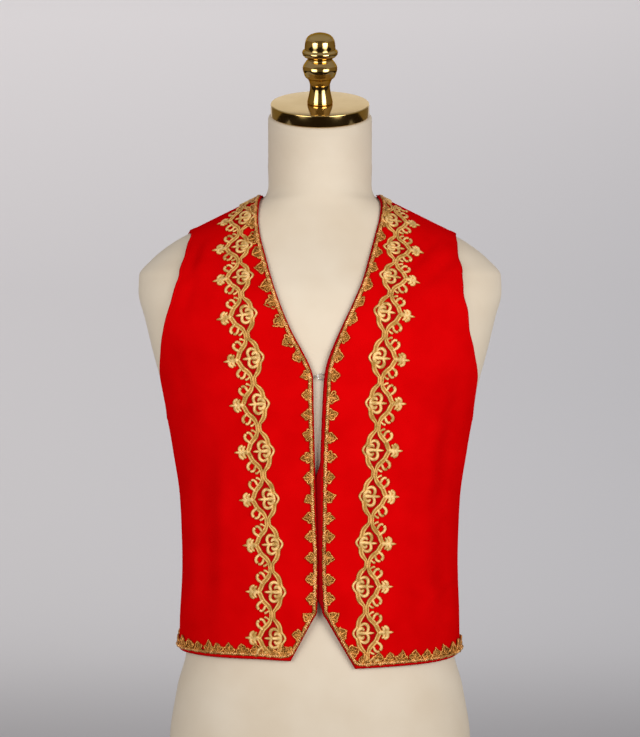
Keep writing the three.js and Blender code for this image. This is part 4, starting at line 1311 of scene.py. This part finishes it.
form_body()
plate = rounded_plate(CAP_RADIUS, JOINT, CAP_TOP, 0.8, 1.2)
neck_top = (0, NECK_TOP_Y, NECK_TOP_Z)
lathe("cap_brass_plate", plate, neck_top, NECK_TILT, BRASS, "cap_brass", "neck_cap", 160)
height = np.linspace(0, FINIAL_TOP, 140)
outline = np.stack([along(FINIAL, "radius", height), height], -1)
foot = CAP_TOP + JOINT
on_cap = (0, NECK_TOP_Y - foot * np.sin(NECK_TILT), NECK_TOP_Z + foot * np.cos(NECK_TILT))
lathe("finial_brass", outline, on_cap, NECK_TILT, AGED_BRASS, "cap_brass", "finial")
plate = rounded_plate(BASE_RADIUS, 0, BASE_TOP, 2, 5)
lathe("base_plate", plate, (0, 0, 0), 0, PAINT, "stand_paint", "stand_base", 160)
lathe("post_turned", POST, (0, 0, 0), 0, PAINT, "stand_paint", "stand_post")

for name in ("hook", "eye"):
    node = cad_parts[name]
    node.data.materials.clear()
    node.data.materials.append(STEEL)

# ------------------------------------------------------------------ floor, light and camera


FLOOR_RADIUS, BEND_RADIUS, WALL_TOP = 3.2, 3.3, 7.0  # metres, as everything in the studio
STUDIO_AROUND = 96
CAMERA_AWAY, CAMERA_HEIGHT = 2.7, 0.645
AIM = (0, 0, 0.59)  # where the front lights point


def backdrop():
    """A round pale floor that curves up into a wall, far behind and around the form. Its paper carries
    painted shade: lighter high up, darker low down and most of all low down towards +X.
    """
    bend = np.radians(np.linspace(0, 90, 25)[1:])
    wall = FLOOR_RADIUS + BEND_RADIUS
    r = np.concatenate([[0.02, 1.5, FLOOR_RADIUS], FLOOR_RADIUS + BEND_RADIUS * np.sin(bend), [wall]])
    h = np.concatenate([np.zeros(3), BEND_RADIUS * (1 - np.cos(bend)), [WALL_TOP]])
    turn = np.linspace(0, 2 * np.pi, STUDIO_AROUND, endpoint=False)
    x, y = r[:, None] * np.cos(turn), r[:, None] * np.sin(turn)
    p = np.stack([x, y, np.broadcast_to(h[:, None], x.shape)], -1)
    faces = ring_quads(len(r), STUDIO_AROUND)[:, ::-1]
    mesh = bpy.data.meshes.new("studio")
    mesh.from_pydata(p.reshape(-1, 3).tolist(), [], [*faces.tolist(), list(range(STUDIO_AROUND))])
    mesh.polygons.foreach_set("use_smooth", np.ones(len(mesh.polygons), bool))
    paper = Finish("pale_paper", Roughness=0.95, Specular_IOR_Level=0.1)
    apart = paper.node("ShaderNodeSeparateXYZ", {0: paper.coordinates.outputs["Object"]})
    up, across = apart.outputs["Z"], apart.outputs["X"]
    height = paper.node("ShaderNodeMapRange", {"Value": up, "From Max": 2.4})
    # Painted shade on the paper: lighter high on the wall, darker low down and low towards +X.
    low, middle, high = (0.66, 0.635, 0.64), (0.69, 0.66, 0.668), (0.86, 0.82, 0.825)
    shade = paper.ramp(height.outputs[0], (0.0, low), (0.38, middle), (0.8, high))
    to_left = paper.node("ShaderNodeMapRange", {"Value": across, "From Min": -1.4, "From Max": 1.4})
    lower = paper.node("ShaderNodeMapRange", {"Value": up, "From Min": 2.6, "From Max": 0.6})
    darker = paper.node("ShaderNodeMath", {0: to_left.outputs[0], 1: lower.outputs[0]}, operation="MULTIPLY")
    paper.paint("Base Color", paper.blend(darker.outputs[0], shade, (0.555, 0.545, 0.565)))
    mesh.materials.append(paper.material)
    stage = in_scene("studio", mesh)
    stage.visible_diffuse = stage.visible_shadow = False


def softbox(name, location, aim, size, watts, spread=180):
    light = bpy.data.lights.new(name, "AREA")
    light.shape, light.size, light.size_y = "RECTANGLE", *size
    light.energy, light.spread = watts, np.radians(spread)
    lamp = in_scene(name, light)
    lamp.location = location
    lamp.rotation_mode = "QUATERNION"
    way = np.array(aim, float) - np.array(location, float)
    lamp.rotation_quaternion = Vector(way).to_track_quat("-Z", "Y")
    lamp.visible_camera = False


def card(name, corners, colour, glow=0.0):
    """A card that only shows in polished metal, and may glow."""
    mesh = bpy.data.meshes.new(name)
    mesh.from_pydata(corners, [], [(0, 1, 2, 3)])
    base = (*colour, 1) if glow == 0 else (0, 0, 0, 1)
    face = Finish(name, Roughness=1.0, Base_Color=base, Emission_Color=(*colour, 1), Emission_Strength=glow)
    mesh.materials.append(face.material)
    panel = in_scene(name, mesh)
    panel.visible_camera = panel.visible_diffuse = panel.visible_shadow = False


backdrop()
# Cards seen only in the metal: the glowing ones are painted bright reflections, the dark ones painted dark
# reflections.
brown, warm, bright = (0.03, 0.018, 0.008), (0.17, 0.13, 0.06), (0.70, 0.68, 0.65)
floor = [(-3, -3.4, 0.02), (3, -3.4, 0.02), (3, -0.35, 0.02), (-3, -0.35, 0.02)]
card("card_floor", floor, (0.035, 0.018, 0.008))
front = [(-3, -3.4, 0.02), (3, -3.4, 0.02), (3, -3.4, 3.2), (-3, -3.4, 3.2)]
card("card_front", front, (0.10, 0.08, 0.045), 1)
for side in (-1, 1):
    x = 2.6 * side
    card(f"card_low_{side}", [(x, -3.4, 0.02), (x, 5, 0.02), (x, 5, 0.6), (x, -3.4, 0.6)], brown)
    card(f"card_side_{side}", [(x, -3.4, 0.6), (x, 5, 0.6), (x, 5, 2.2), (x, -3.4, 2.2)], warm, 1)
card("card_above", [(-2.4, 2.6, 2), (2.4, 2.6, 2), (2.4, 5.2, 5.4), (-2.4, 5.2, 5.4)], bright, 1)
softbox("key_light", (0.8, -1.0, 0.72), AIM, (0.8, 1.0), 2.5, 68)
softbox("fill_light", (-0.78, -1.02, 0.72), AIM, (0.8, 1.0), 1.85, 68)
softbox("wall_light", (0, 2.5, 3.2), (0, 6, 0.8), (4, 1.5), 96)

world = bpy.data.worlds.new("studio_air")
bpy.context.scene.world = world
world.use_nodes = True
sky = world.node_tree.nodes["Background"]
sky.inputs["Color"].default_value = (0.95, 0.94, 0.95, 1)
sky.inputs["Strength"].default_value = 0.32

camera = in_scene("camera", bpy.data.cameras.new("camera"))
camera.data.lens, camera.data.sensor_width = 117.57, 36
camera.location = (0, -CAMERA_AWAY, CAMERA_HEIGHT)
camera.rotation_euler = (np.pi / 2, 0, 0)
bpy.context.scene.camera = camera
bpy.context.scene.view_settings.view_transform = "Standard"
